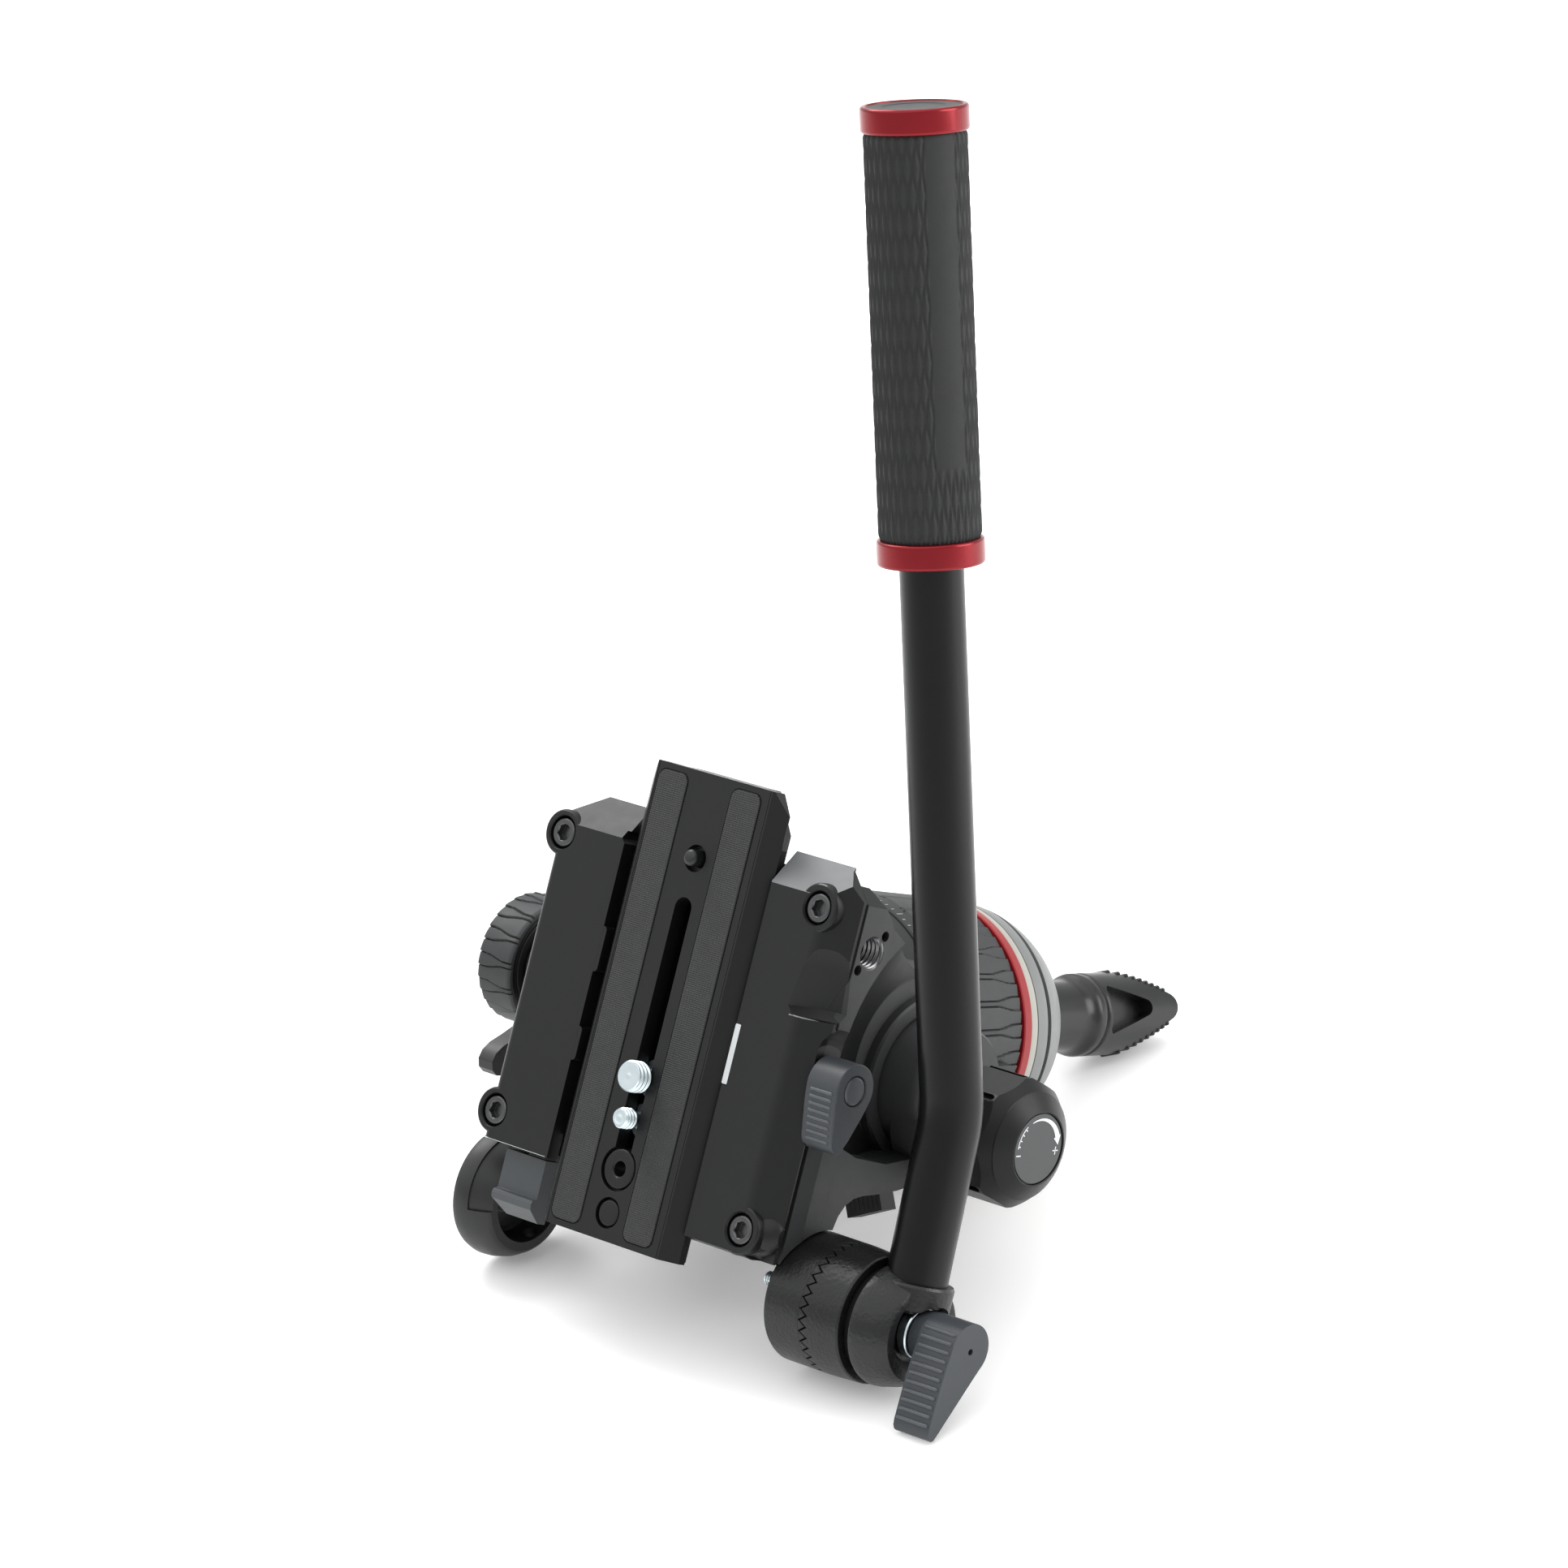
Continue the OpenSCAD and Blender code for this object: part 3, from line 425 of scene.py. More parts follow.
left_xz = [(-57.5, -10), (-57.5, -4.8)] + arc((-54.7, -4.8), 2.8, 180, 90, 8) + [(-30.2, -2), (-30.2, -10)]
wl = csg(prism([(-52.5, -10), (-52.5, -2), (44.6, -2), (54.8, -10)], -58, -30.2, "x"), ("*", prism(left_xz, -60, 60, "y")),
         ("-", prism([(-57.6, 47.2), (-46.5, 55.3), (-46.5, 70), (-80, 70), (-80, 47.2)], -12, 2)),
         ("-", prism([(-31.6, 44.6), (-29, 42.0), (-29, 47), (-31.6, 47)], -12, 2)),
         ("+", lathe([(0, -10), (7, -10), (7, -2.9), (6.75, -2.3), (6.3, -2.0), (0, -2.0)], c=(-55.3, 41.3), seg=72)),
         ("+", lathe([(0, -10), (7, -10), (7, -2.9), (6.75, -2.3), (6.3, -2.0), (0, -2.0)], c=(-55.2, -43.8), seg=72)),
         ("+", prism(rrect(-33.5, -28.75, 4.4, 18.2, 1.3, 5), -6.6, -2.02)), ("+", prism(rrect(-33.5, -28.75, -22.5, -12.2, 1.3, 5), -6.6, -2.02)),
         ("-", block(-46.9, -27, -60, 42.5, -11, -6.8)),
         ("-", counterbore(-55.3, 41.3, -2)), ("-", counterbore(-55.2, -43.8, -2)))
piece("vis_wing_left", wl, PLAT, "tilt", CAST, "wing_left", bevel=0.45, seg=3, flat=25)
# thin bright rod along the left wing's rear top edge: painted highlight on the bevel
piece("vis_wing_left_edge_painted_highlight", rib((-56.6, -52.32, -2.15), (-31.0, -52.32, -2.15), 0.17), PLAT, "tilt", EDGE_PAINTED_HIGHLIGHT)

def scoop(grow=0.0):
    return lathe([(0, 57.2 - grow), (10.6, 57.2 - grow), (12.2, 57.6 - grow), (14.2, 58.9 - grow), (16.4, 60.6), (18.6, 62.5), (0, 62.5)], "x", (-7.2, -12), 96)
bowl = orb((63, -8.4, 2.5), 8.6, 9.6, 13.2, 28, 72)

trough = lathe([(0, 0), (19.2, 0), (22, 2.5), (22, 15), (21.2, 20), (19.4, 24.5), (0, 24.5)], "y", (0, 0), 160).mv(T(65.0, 6.3, 8.3) @ RX(11) @ RZ(-3))
corner = prism([(60.6, 44.6), (52.2, 53.6), (52.2, 70), (80, 70), (80, 44.6)], -40, 5)
right_xz = [(28.7, -10), (28.7, -2.3), (29, -2), (48.5, -2)] + arc((48.5, -8), 6, 90, 58, 5)[1:] + [(59.5, -8.4), (59.5, -10)]
groove = block(57.4, 62, -64, -25.5, -11.5, -9.0)
wr = csg(prism(right_xz, -62, 56, "y"), ("*", prism([(-63, -10), (-61, -2), (44.6, -2), (54.8, -10)], 20, 70, "x")),
         ("-", trough), ("-", corner), ("-", prism([(52.5, -61.0), (61, -55.5), (61, -70), (52.5, -70)], -12, 2)),
         ("+", lathe([(0, -9.9), (8.2, -9.9), (7.5, -6), (7.4, -3.0), (7.1, -2.4), (6.7, -2.1), (0, -2.1)], c=(48, 41.1), seg=80)),
         ("+", lathe([(0, -9.9), (8.2, -9.9), (7.5, -6), (7.4, -3.0), (7.1, -2.4), (6.7, -2.1), (0, -2.1)], c=(48.7, -54.4), seg=80)),
         ("+", orb((52.0, -53.6, -9.2), 8.2, 7.0, 5.6, 20, 48)),
         ("-", corner), ("-", block(59.6, 75, -80, 80, -20, 5)), ("-", block(20, 75, -80, 80, -20, -10)),
         ("-", scoop()), ("-", bowl), ("-", groove), ("-", block(28, 30.8, -15.8, 2.6, -8.2, -1)),
         ("-", counterbore(48, 41.1, -2.1)), ("-", counterbore(48.7, -54.4, -2.1)))
wing = piece("vis_wing_right", wr, PLAT, "tilt", CAST, "wing_right", bevel=0.45, seg=3, limit=26, flat=25)
# faces of the right wing's front facet take the lighter casting copy: painted sheen
wing.data.materials.append(CAST_PAINTED_SHEEN)
for f in wing.data.polygons:
    if f.normal.dot(Vector((0, 0.72, 0.69))) > 0.985 and f.center.y > 0.05: f.material_index = 1

# grey rod along the right wing's ridge fillet: painted highlight
piece("vis_wing_ridge_painted_highlight", sweep([(47.4, 9.35, -2.15), (48.5, 9.35, -2.2), (50.2, 9.35, -2.5), (51.7, 9.35, -3.2), (55.5, 9.35, -5.95), (58.8, 9.35, -8.4)], 0.24, 14), PLAT, "tilt", MARK_AND_HIGHLIGHT_GREY)

for nm, x, y in (("fl", -55.3, 41.3), ("rl", -55.2, -43.8), ("fr", 48, 41.1), ("rr", 48.7, -54.4)):
    hexa = [(x + 2.55 * math.cos(math.radians(60 * i + 15)), y + 2.55 * math.sin(math.radians(60 * i + 15))) for i in range(6)]
    hd = csg(lathe([(0, -17.5), (2.5, -17.5), (2.5, -5.9), (4.4, -5.9), (4.4, -3.25), (4.25, -2.8), (3.85, -2.5), (3.3, -2.5), (3.15, -2.58), (0, -2.58)], c=(x, y), seg=72),
             ("-", prism(hexa, -4.9, 1)), ("-", lathe([(0, -3.1), (2.2, -3.1), (2.85, -2.4), (2.85, 1), (0, 1)], c=(x, y), seg=48)))
    piece("vis_screw_" + nm, hd, PLAT, "tilt", OXIDE, "screw_" + nm, bevel=0.1)

piece("vis_clamp_pad", prism(rrect(28.5, 30.7, -15.6, 2.4, 0.5, 3), -8, -2.2), PLAT, "tilt", STRIP, "clamp_pad", bevel=0.15)

# ------------------------------------------------------------------ deck, arms and side socket
dish = csg(lathe([(0, 46.4), (27, 46.4), (28.2, 46.9), (33, 48.2), (39, 51), (44, 54.3), (48, 58), (51, 61.2), (51, 66), (0, 66)], "x", (0.5, -64.5), 128),
           ("*", prism([(-25, -120), (-25, -58), (-28, -46), (-27.5, -32), (-24, -20), (-18, -5), (80, -5), (80, -120)], 40, 70, "x")))
def again(me): return me.copy()
dk = csg(block(-57, 29, -52, 50, -24, -10.1), ("+", block(28, 60, -62, 50, -24, -10.1)),
         ("-", block(-46.8, 28.9, -80, 80, -12.4, 0)), ("-", block(-28.9, 28.9, -80, -45, -30, 0)), ("-", block(6, 40, -70, 2, -30, -15.2)),
         ("-", cyl(20.2, 56.3, 80, "x", (-69.5, -30))), ("-", cyl(20.9, -80, -54.2, "x", (-69.5, -30))),
         ("-", block(-9.9, 9.9, -9.9, 9.9, -9.9, 9.9).mv(T(0, 50, -24) @ RX(45) @ Matrix.Diagonal((7.2, 0.72, 0.72, 1)))),
         ("-", corner), ("-", trough), ("-", scoop(0.4)), ("-", bowl), ("-", groove),
         ("-", prism([(60.2, -11.4), (58.7, -11.4), (60.2, -17.6)], -64, -25.5, "y")), ("-", dish),
         ("-", cyl(5.05, 47, 61, "x", (31.9, -16.6), seg=64)), ("-", cyl(1.55, 52, 61, "x", (37.4, -20.6), seg=32)), ("-", cyl(1.55, 52, 61, "x", (26.4, -12.2), seg=32)),
         ("-", cyl(3.1, 40, 61, "x", (-7.2, -12), seg=32)), ("-", cyl(2.3, 48, 57, "x", (-67, -19), seg=32)),
         ("-", cyl(2.55, -18, -9, "z", (-55.3, 41.3), seg=32)), ("-", cyl(2.55, -18, -9, "z", (-55.2, -43.8), seg=32)),
         ("-", cyl(2.55, -18, -9, "z", (48, 41.1), seg=32)), ("-", cyl(2.55, -18, -9, "z", (48.7, -54.4), seg=32)))
deck_o = piece("vis_deck", dk, PLAT, "tilt", CAST_PAINTED_FILL, "deck", bevel=0.6, seg=3, limit=26, flat=30)

arm_yz = [(-51.5, -24.02), (39.8, -24.02), (36.6, -30), (31, -45), (25.8, -60), (24.0, -68), (-30.6, -68), (-32.6, -61), (-35.2, -54), (-37.4, -44), (-38.2, -39), (-39.4, -35.4), (-41.8, -32.3), (-45.2, -30.4), (-49.5, -29.4), (-51.5, -29.2)]
def arm(x0, x1):
    return csg(prism(arm_yz, x0, x1, "x"), ("+", cyl(27.4, x0, x1, "x", (-3.3, -68), seg=128)))
ar = csg(arm(43, 60), ("-", dish), ("+", lathe([(20, 45), (20, 48.9), (22.0, 49.3), (25.2, 49.3), (26.0, 48.7), (26.6, 46.0), (26.6, 45)], "x", (-3.3, -68), 112, ring=True)), ("-", cyl(21.3, 42, 62, "x", (-3.3, -68), seg=96)), ("-", cyl(20.2, 56.3, 80, "x", (-69.5, -30))))
arm_o = piece("vis_arm_right", ar, PLAT, "tilt", CAST_PAINTED_FILL, "arm_right", bevel=0.7, seg=3, limit=26)
# deck and arm faces turned partly towards +x (the dish) take the darker casting: painted shade in the dish
for o in (deck_o, arm_o):
    o.data.materials.append(CAST)
    for f in o.data.polygons:
        if 0.3 < f.normal.x < 0.97: f.material_index = 1
al = csg(arm(-55, -43), ("-", cyl(21.0, -56, -42, "x", (-3.3, -68), seg=96)), ("-", cyl(20.9, -80, -54.2, "x", (-69.5, -30))))
piece("vis_arm_left", al, PLAT, "tilt", CAST_PAINTED_FILL, "arm_left", bevel=0.7, seg=3)
piece("vis_bearing_right", lathe([(20.95, 43.4), (20.95, 46.0), (17.4, 46.0), (17.4, 43.4)], "x", (-4.4, 60.2), 96, ring=True), ROW, "tilt", OXIDE, "bearing_right", bevel=0.2)
piece("vis_link_bush", bored_thread(4.1, 0.62, 1.588, 5.0, 47.2, 59.9, "x", (31.9, -16.6)), PLAT, "tilt", SOCKET, "link_bush", bevel=0.12)
piece("vis_rosette_screw", joined(thread(2.2, 0.3, 0.8, 49.6, 58.7, 0.4, 40, "x", (-67, -19), 0.08)), PLAT, "tilt", ZINC, "rosette_screw")

# ------------------------------------------------------------------ left cup and release
CUP_AX = (-69.5, -30)
skin = csg(lathe([(18.75, -64.8), (17.6, -62.0), (16.0, -58.9), (15.0, -57.4), (26, -57.4), (26, -64.8)], "x", CUP_AX, 128, ring=True),
           ("-", block(-80, -40, -40, 0, -40, 40).mv(T(0, -69.5, -30) @ RX(20))))
cup = csg(lathe([(0, -72.6), (15.6, -72.6), (18.2, -72.1), (19.5, -70.9), (19.95, -69.2), (19.8, -66.5), (18.8, -62.5), (17.3, -59.4), (16.6, -58.4), (16.0, -58.0), (0, -58.0)], "x", CUP_AX, 128),
          ("-", lathe([(0, -67.5), (10.6, -67.5), (12.0, -66.6), (12.7, -64.8), (13.1, -59.6), (13.6, -57), (0, -57)], "x", CUP_AX, 112)),
          ("-", skin), ("-", cyl(3.3, -74, -60, "x", CUP_AX, seg=40)),
          ("-", cyl(2.3, 8, 26, "z", (0, 0), seg=40).mv(T(-61.4, -69.5, -30) @ RX(125))),
          ("+", block(-64, -44.0, -61.5, -50.8, -33, -20)))
piece("vis_rosette_left", cup, PLAT, "tilt", CUP, "rosette_left", bevel=0.35, seg=3)

btn = csg(prism([(-54, -6.6), (-65.8, -6.6), (-66.4, -4.9), (-67.6, -4.5), (-69.2, -4.9), (-73, -9.4), (-73, -12.6), (-54, -12.6)], -50.5, -34, "x"),
          ("-", block(-52, -49.6, -80, -66.2, -14, -3).mv(T(-50, -70, 0) @ RZ(38) @ T(50, 70, 0))))
piece("vis_release_button", btn, PLAT, "release", BUTTON, "release_button", bevel=0.5, seg=3)
jaw = csg(prism([(-42, -12.1), (-24.6, -12.1), (-24.6, -11.6), (-28.6, -7.5), (-28.6, -7.2), (-42, -7.2)], -45, 41, "y"), ("+", block(-42, -35, -54, -44, -12.1, -7.2)))
piece("vis_side_jaw", jaw, PLAT, "release", PLATE, "side_jaw", bevel=0.3)

# ------------------------------------------------------------------ slide lever
def lever_profile(hub, r, top, bottom):
    """Teardrop outline: the upper edge points, the lower edge points and the hub's arc between them."""
    return top + bottom + arc(hub, r, -100, 95, 22)[0:]

def ribs_on(top_z, ys, x0, x1, r, sink):
    return [rib((x0, y, top_z(y) - sink), (x1, y, top_z(y) - sink), r) for y in ys]

def line_z(pts):
    def f(y):
        for (y0, z0), (y1, z1) in zip(pts, pts[1:]):
            if min(y0, y1) <= y <= max(y0, y1):
                return z0 + (z1 - z0) * (y - y0) / (y1 - y0)
        return pts[-1][1]
    return f

SL = PLAT @ T(0, -7.2, -12) @ RX(3)
s_top = [(-0.7, 7.96), (-4, 7.7), (-9, 6.9), (-15.5, 5.7), (-17.6, 4.9), (-18.8, 3.6)]
s_low = [(-19.0, 2.0), (-18.5, 0.8), (-14, -2.0), (-8, -5.2), (-4, -7.0)]
s_out = s_top + s_low + arc((0, 0), 8, -112, 93, 26)
sl = csg(prism(s_out, 58.2, 70.2, "x"), ("-", cyl(4.55, 69.3, 72, "x", seg=56)), ("-", cyl(3.02, 57, 68, "x", seg=40)))
sz = line_z([(2.5, 7.6)] + s_top)
piece("vis_slide_lever", sl, SL, "slide_lock", SLATE, "slide_lever", bevel=0.7, seg=3)
piece("vis_slide_lever_ribs", joined(*ribs_on(sz, [-1.6 - 2.05 * i for i in range(8)], 60.5, 68.2, 0.58, 0.12)), SL, "slide_lock", SLATE_RIB_PAINTED_HIGHLIGHT)
piece("vis_slide_cap", lathe([(0, 70.35), (3.3, 70.38), (3.85, 70.25), (4.2, 69.9), (4.2, 69.4), (0, 69.4)], "x", (-7.2, -12), 64), PLAT, "slide_lock", SLATE_CAP, "slide_cap")
piece("vis_slide_spindle", lathe([(0, 40.5), (2.6, 40.5), (3, 40.9), (3, 67.8), (0, 67.8)], "x", (-7.2, -12), 48), PLAT, "slide_lock", STEEL, "slide_spindle")

# ------------------------------------------------------------------ rosette and clamp
def zig(a):
    t = (a / (2 * math.pi) * 36) % 1.0
    return 72.3 + 2.6 * (abs(2 * t - 1) - 0.5)

ros = csg(lathe([(0, 56.6), (18.6, 56.6), (19.2, 56.9), (19.6, 57.6), (19.6, 70.55), (0, 70.55)], "x", (-69.5, -30), 144),
          ("-", cyl(3.3, 56, 71, "x", (-69.5, -30), seg=40)), ("-", cyl(2.35, 56, 59, "x", (-67, -19), seg=32)))
piece("vis_rosette_right", ros, PLAT, "tilt", GRAIN, "rosette_right", bevel=0.05)

def inner_skin(a, h):
    r = 19.6 - 0.5 * step(h, 73.5, 85.5)
    d = h - zig(a)
    r -= 0.75 * (1 - step(abs(d), 0.12, 0.42))
    if h > 85.0: r -= 0.35 * (h - 85.0) / 0.5
    return r
hs = [70.62, 70.8] + [70.9 + 0.12 * i for i in range(26)] + [74.2, 75, 77, 79, 81, 83, 84.6, 85.0, 85.25, 85.5]
ci = csg(radial(inner_skin, 0, 0, 36 * 22, 0, "x", (-69.5, -30), hs=hs), ("-", cyl(3.3, 70, 86, "x", (-69.5, -30), seg=40)),
         ("-", cyl(9.32, -56, -16, "z", seg=64).mv(PLAT.inverted() @ BARLOW)))
piece("vis_clamp_inner", ci, PLAT, "bar", GRAIN, "clamp_inner", weighted=False)
bore = cyl(9.32, -56, -14, "z", seg=72).mv(PLAT.inverted() @ BARLOW)
cs = csg(lathe([(0, 85.55), (16.2, 85.55), (16.4, 85.8), (16.4, 88.3), (16.2, 88.55), (0, 88.55)], "x", (-69.5, -30), 112),
         ("-", cyl(3.3, 85, 89, "x", (-69.5, -30), seg=40)), ("-", bore))
# the spacer sits recessed between the clamp halves; its near-black colour paints the groove's shade
piece("vis_clamp_spacer", cs, PLAT, "bar", GAP_PAINTED_SHADE, "clamp_spacer", bevel=0.1)
lug = csg(lathe([(0, -57.5), (10.2, -57.5), (11.2, -56.6), (11.4, -50.0), (10.9, -49.2), (0, -49.2)], "z", (0, 0), 72).mv(PLAT.inverted() @ BARLOW),
          ("*", block(89.0, 112, -100, -20, -60, 10)))
co_ = csg(lathe([(0, 88.6), (17.7, 88.6), (18.25, 88.9), (18.45, 89.6), (18.2, 91.5), (16.9, 96.5), (15.6, 99.6), (14.6, 100.9), (13.4, 101.2), (0, 101.2)], "x", (-69.5, -30), 144),
          ("-", lathe([(0, 97.3), (8.2, 97.3), (9.2, 97.8), (10.6, 99.6), (12.4, 101.6), (13.5, 104), (13.5, 130), (0, 130)], "x", (-69.5, -30), 96)),
          ("+", lug),
          ("-", cyl(8.9, 97.3, 130, "x", (-69.5, -30), seg=96)),
          ("-", cyl(3.3, 88, 110, "x", (-69.5, -30), seg=40)), ("-", bore))
piece("vis_clamp_outer", co_, PLAT, "bar", GRAIN2, "clamp_outer", bevel=0.45, seg=3, limit=30)
piece("vis_clamp_washer", lathe([(3.3, 97.5), (6.6, 97.5), (7.6, 98.2), (7.75, 100.9), (7.4, 101.4), (3.3, 101.4)], "x", (-69.5, -30), 96, ring=True), PLAT, "bar", ZINC, "clamp_washer", bevel=0.1)

# ------------------------------------------------------------------ clamp lever
c_top = [(-70.4, -22.05), (-76, -21.35), (-84, -20.8), (-93.5, -20.55), (-95.4, -20.75), (-96.6, -21.6)]
c_low = [(-97.0, -22.6), (-96.5, -23.7), (-90, -27.4), (-80, -33.1), (-74, -36.6)]
c_out = c_top + c_low + arc((-69.7, -30), 7.95, -118, 92, 30)
cl = csg(prism(c_out, 106.2, 119.6, "x"), ("+", lathe([(0, 101.8), (6.9, 101.8), (7.3, 102.2), (7.7, 106.6), (0, 106.6)], "x", (-69.5, -30), 80)),
         ("-", cyl(0.95, 117.4, 121, "x", (-70.0, -30.3), seg=24)), ("-", cyl(3.02, 101, 117, "x", (-69.5, -30), seg=32)))
piece("vis_clamp_lever", cl, PLAT, "bar_lock", SLATE, "clamp_lever", bevel=0.75, seg=3)
cz = line_z([(-64.0, -24.45), (-65.2, -23.45), (-66.5, -22.72), (-68.2, -22.2)] + c_top)
piece("vis_clamp_lever_ribs", joined(*ribs_on(cz, [-66.0 - 2.68 * i for i in range(11)], 107.4, 118.2, 0.62, 0.0)), PLAT, "bar_lock", SLATE_RIB_PAINTED_HIGHLIGHT)
piece("vis_clamp_bolt", lathe([(0, 57.5), (2.6, 57.5), (3, 57.9), (3, 116.8), (0, 116.8)], "x", (-69.5, -30), 48), PLAT, "bar_lock", STEEL, "clamp_bolt")

# ------------------------------------------------------------------ bar tube, grip and rings
LOWM = PLAT.inverted() @ BARLOW; UPM = PLAT.inverted() @ BAR
beta = math.radians(15.66); bt = 45 * math.tan(beta / 2)
path = [LOWM @ Vector((0, 0, -55.5 + (55.5 - bt) * i / 6)) for i in range(6)]
ROLL = LOWM @ RZ(-23.1)
path += [ROLL @ Vector((0, -45 + 45 * math.cos(beta * i / 16), -bt + 45 * math.sin(beta * i / 16))) for i in range(17)]
path += [UPM @ Vector((0, 0, bt + (278 - bt) * i / 24)) for i in range(1, 25)]
piece("vis_bar_tube", sweep(path, 9.2, 96), PLAT, "bar", TUBE, "bar_tube")

def grip_r(a, h):
    n, p = 35, 15.6
    edge = step(h, 167.2, 168.4) * (1 - step(h, 280.6, 281.8))
    u = a / (2 * math.pi) * n; w = h / p
    best = 0.0
    for k in (0.0, 0.5):
        du = abs((u + k + 0.5) % 1.0 - 0.5) * 2; dw = abs((w + k + 0.5) % 1.0 - 0.5) * 2
        best = max(best, 1 - du - dw * 0.92)
    r = 14.2 + 0.52 * step(best, 0.0, 0.8)
    ad = math.degrees((a - math.radians(3) + math.pi) % (2 * math.pi) - math.pi)
    band = (1 - step(abs(ad), 18.2, 20.0)) * step(h, 186.0, 189.0)
    r = r * (1 - band) + 14.5 * band
    return min(14.75, r) - 0.35 * (1 - edge)
piece("vis_grip", radial(grip_r, 167.2, 281.8, 35 * 12, 270, inner=9.25), BAR, "bar", GRIP, "grip", weighted=False)

def red_ring_solid(lo, hi, bore_r, r=15.4):
    return lathe([(bore_r, lo), (r - 0.9, lo), (r - 0.35, lo + 0.15), (r - 0.08, lo + 0.5), (r, lo + 1.0), (r, hi - 1.0), (r - 0.08, hi - 0.5), (r - 0.35, hi - 0.15), (r - 0.9, hi), (bore_r, hi)], seg=144, ring=True)
piece("vis_grip_ring_low", red_ring_solid(159.7, 167.1, 9.25), BAR, "bar", RED, "grip_ring_low")
top_ring = lathe([(0, 281.9), (14.5, 281.9), (15.05, 282.05), (15.32, 282.4), (15.4, 282.9), (15.4, 288.3), (15.3, 288.8), (15.0, 289.2), (14.5, 289.35), (14.0, 289.3), (13.75, 289.05), (13.6, 288.4), (0, 288.4)], seg=144)
piece("vis_grip_ring_top", top_ring, BAR, "bar", RED, "grip_ring_top")
piece("vis_grip_end", lathe([(0, 288.75), (9.0, 288.72), (9.3, 288.9), (13.2, 289.0), (13.5, 288.8), (13.5, 288.35), (0, 288.35)], seg=112), BAR, "bar", PLASTIC)

# ------------------------------------------------------------------ counterbalance knob and dial
octo = [(20.02 * math.cos(math.radians(45 * k)), 20.02 * math.sin(math.radians(45 * k))) for k in range(8)]
slots = []
for k in range(8):
    slots.append(("-", prism([(70, -1.15), (85.2, -1.15), (86.0, -0.8), (86.4, 0), (86.0, 0.8), (85.2, 1.15), (70, 1.15)], 17.9, 21, "z").mv(RX(45 * k))))
body = csg(prism(octo, 70.4, 90.95, "x"), ("*", lathe([(0, 70.3), (18.5, 70.3), (19.45, 71.3), (19.45, 87.2), (16.2, 90.95), (0, 90.95)], "x", (0, 0), 144)), *slots)
piece("vis_cb_knob", body, CB, "counterbalance", KNOB, "cb_knob", bevel=0.28, seg=3, limit=20)
piece("vis_cb_face", lathe([(0, 90.8), (16.1, 90.8), (16.3, 90.98), (16.28, 91.25), (16.0, 91.5), (11.7, 94.5), (11.2, 94.75), (10.85, 94.6), (10.75, 93.9), (0, 93.9)], "x", (0, 0), 144),
      CB, "counterbalance", KNOB, weighted=False)
piece("vis_cb_shaft", lathe([(0, 58.5), (4.6, 58.5), (5, 58.9), (5, 70.4), (0, 70.4)], "x", (0, 0), 48), CB, "counterbalance", STEEL)
piece("vis_cb_disc", lathe([(0, 94.62), (10.15, 94.62), (10.4, 94.5), (10.4, 93.95), (0, 93.95)], "x", (0, 0), 112), CB, "counterbalance", DISC, "cb_disc")
def ring_part(r0, r1, a0, a1, n=24):
    out = [(r1(t) * math.cos(math.radians(a0 + (a1 - a0) * t)), r1(t) * math.sin(math.radians(a0 + (a1 - a0) * t))) for t in [i / n for i in range(n + 1)]]
    out += [(r0(t) * math.cos(math.radians(a0 + (a1 - a0) * t)), r0(t) * math.sin(math.radians(a0 + (a1 - a0) * t))) for t in [i / n for i in range(n, -1, -1)]]
    return out
marks = [prism(ring_part(lambda t: 8.75 - 1.1 * t, lambda t: 8.95 + 0.55 * t, 28, -66), 94.6, 94.68, "x"),
         prism([(7.0 * math.cos(math.radians(-66)), 7.0 * math.sin(math.radians(-66))), (10.0 * math.cos(math.radians(-66)), 10.0 * math.sin(math.radians(-66))), (8.6 * math.cos(math.radians(-84)), 8.6 * math.sin(math.radians(-84)))], 94.6, 94.68, "x"),
         prism(ring_part(lambda t: 9.0, lambda t: 9.3, 42, 88), 94.6, 94.68, "x"),
         block(94.6, 94.68, -1.95, -1.6, 7.6, 9.6), block(94.6, 94.68, -2.0, 0.4, -7.95, -7.6), block(94.6, 94.68, -0.97, -0.62, -8.95, -6.6)]
marks += [prism(ring_part(lambda t: 8.2, lambda t: 9.1, a - 1.1, a + 1.1, 3), 94.6, 94.68, "x") for a in (48, 60, 72, 84)]
piece("vis_dial_marks", joined(*marks), CB, "counterbalance", WHITE, smooth=False)

# ------------------------------------------------------------------ pan unit
cbh = csg(lathe([(0, 46.3), (20.6, 46.3), (20.6, 48.5), (20.2, 51), (19.4, 55), (18.9, 59), (18.6, 61), (17.9, 62), (0, 62)], "x", (-4.4, 60.2), 128),
          ("+", lathe([(0, 52), (17.2, 52), (16.9, 66), (16.3, 69.4), (15.7, 70.1), (0, 70.1)], "x", (-13.85, 59.84), 112)), ("-", cyl(5.05, 56, 71, "x", (-13.85, 59.84), seg=48)),
          ("-", cyl(17.32, 40, 57.02, "x", (-4.4, 60.2), seg=96)))
# the counterbalance housing takes the lighter casting: painted fill light on its shaded hub
piece("vis_cb_housing", cbh, ROW, "pan", HUB_PAINTED_FILL, "cb_housing", bevel=0.5, seg=3)

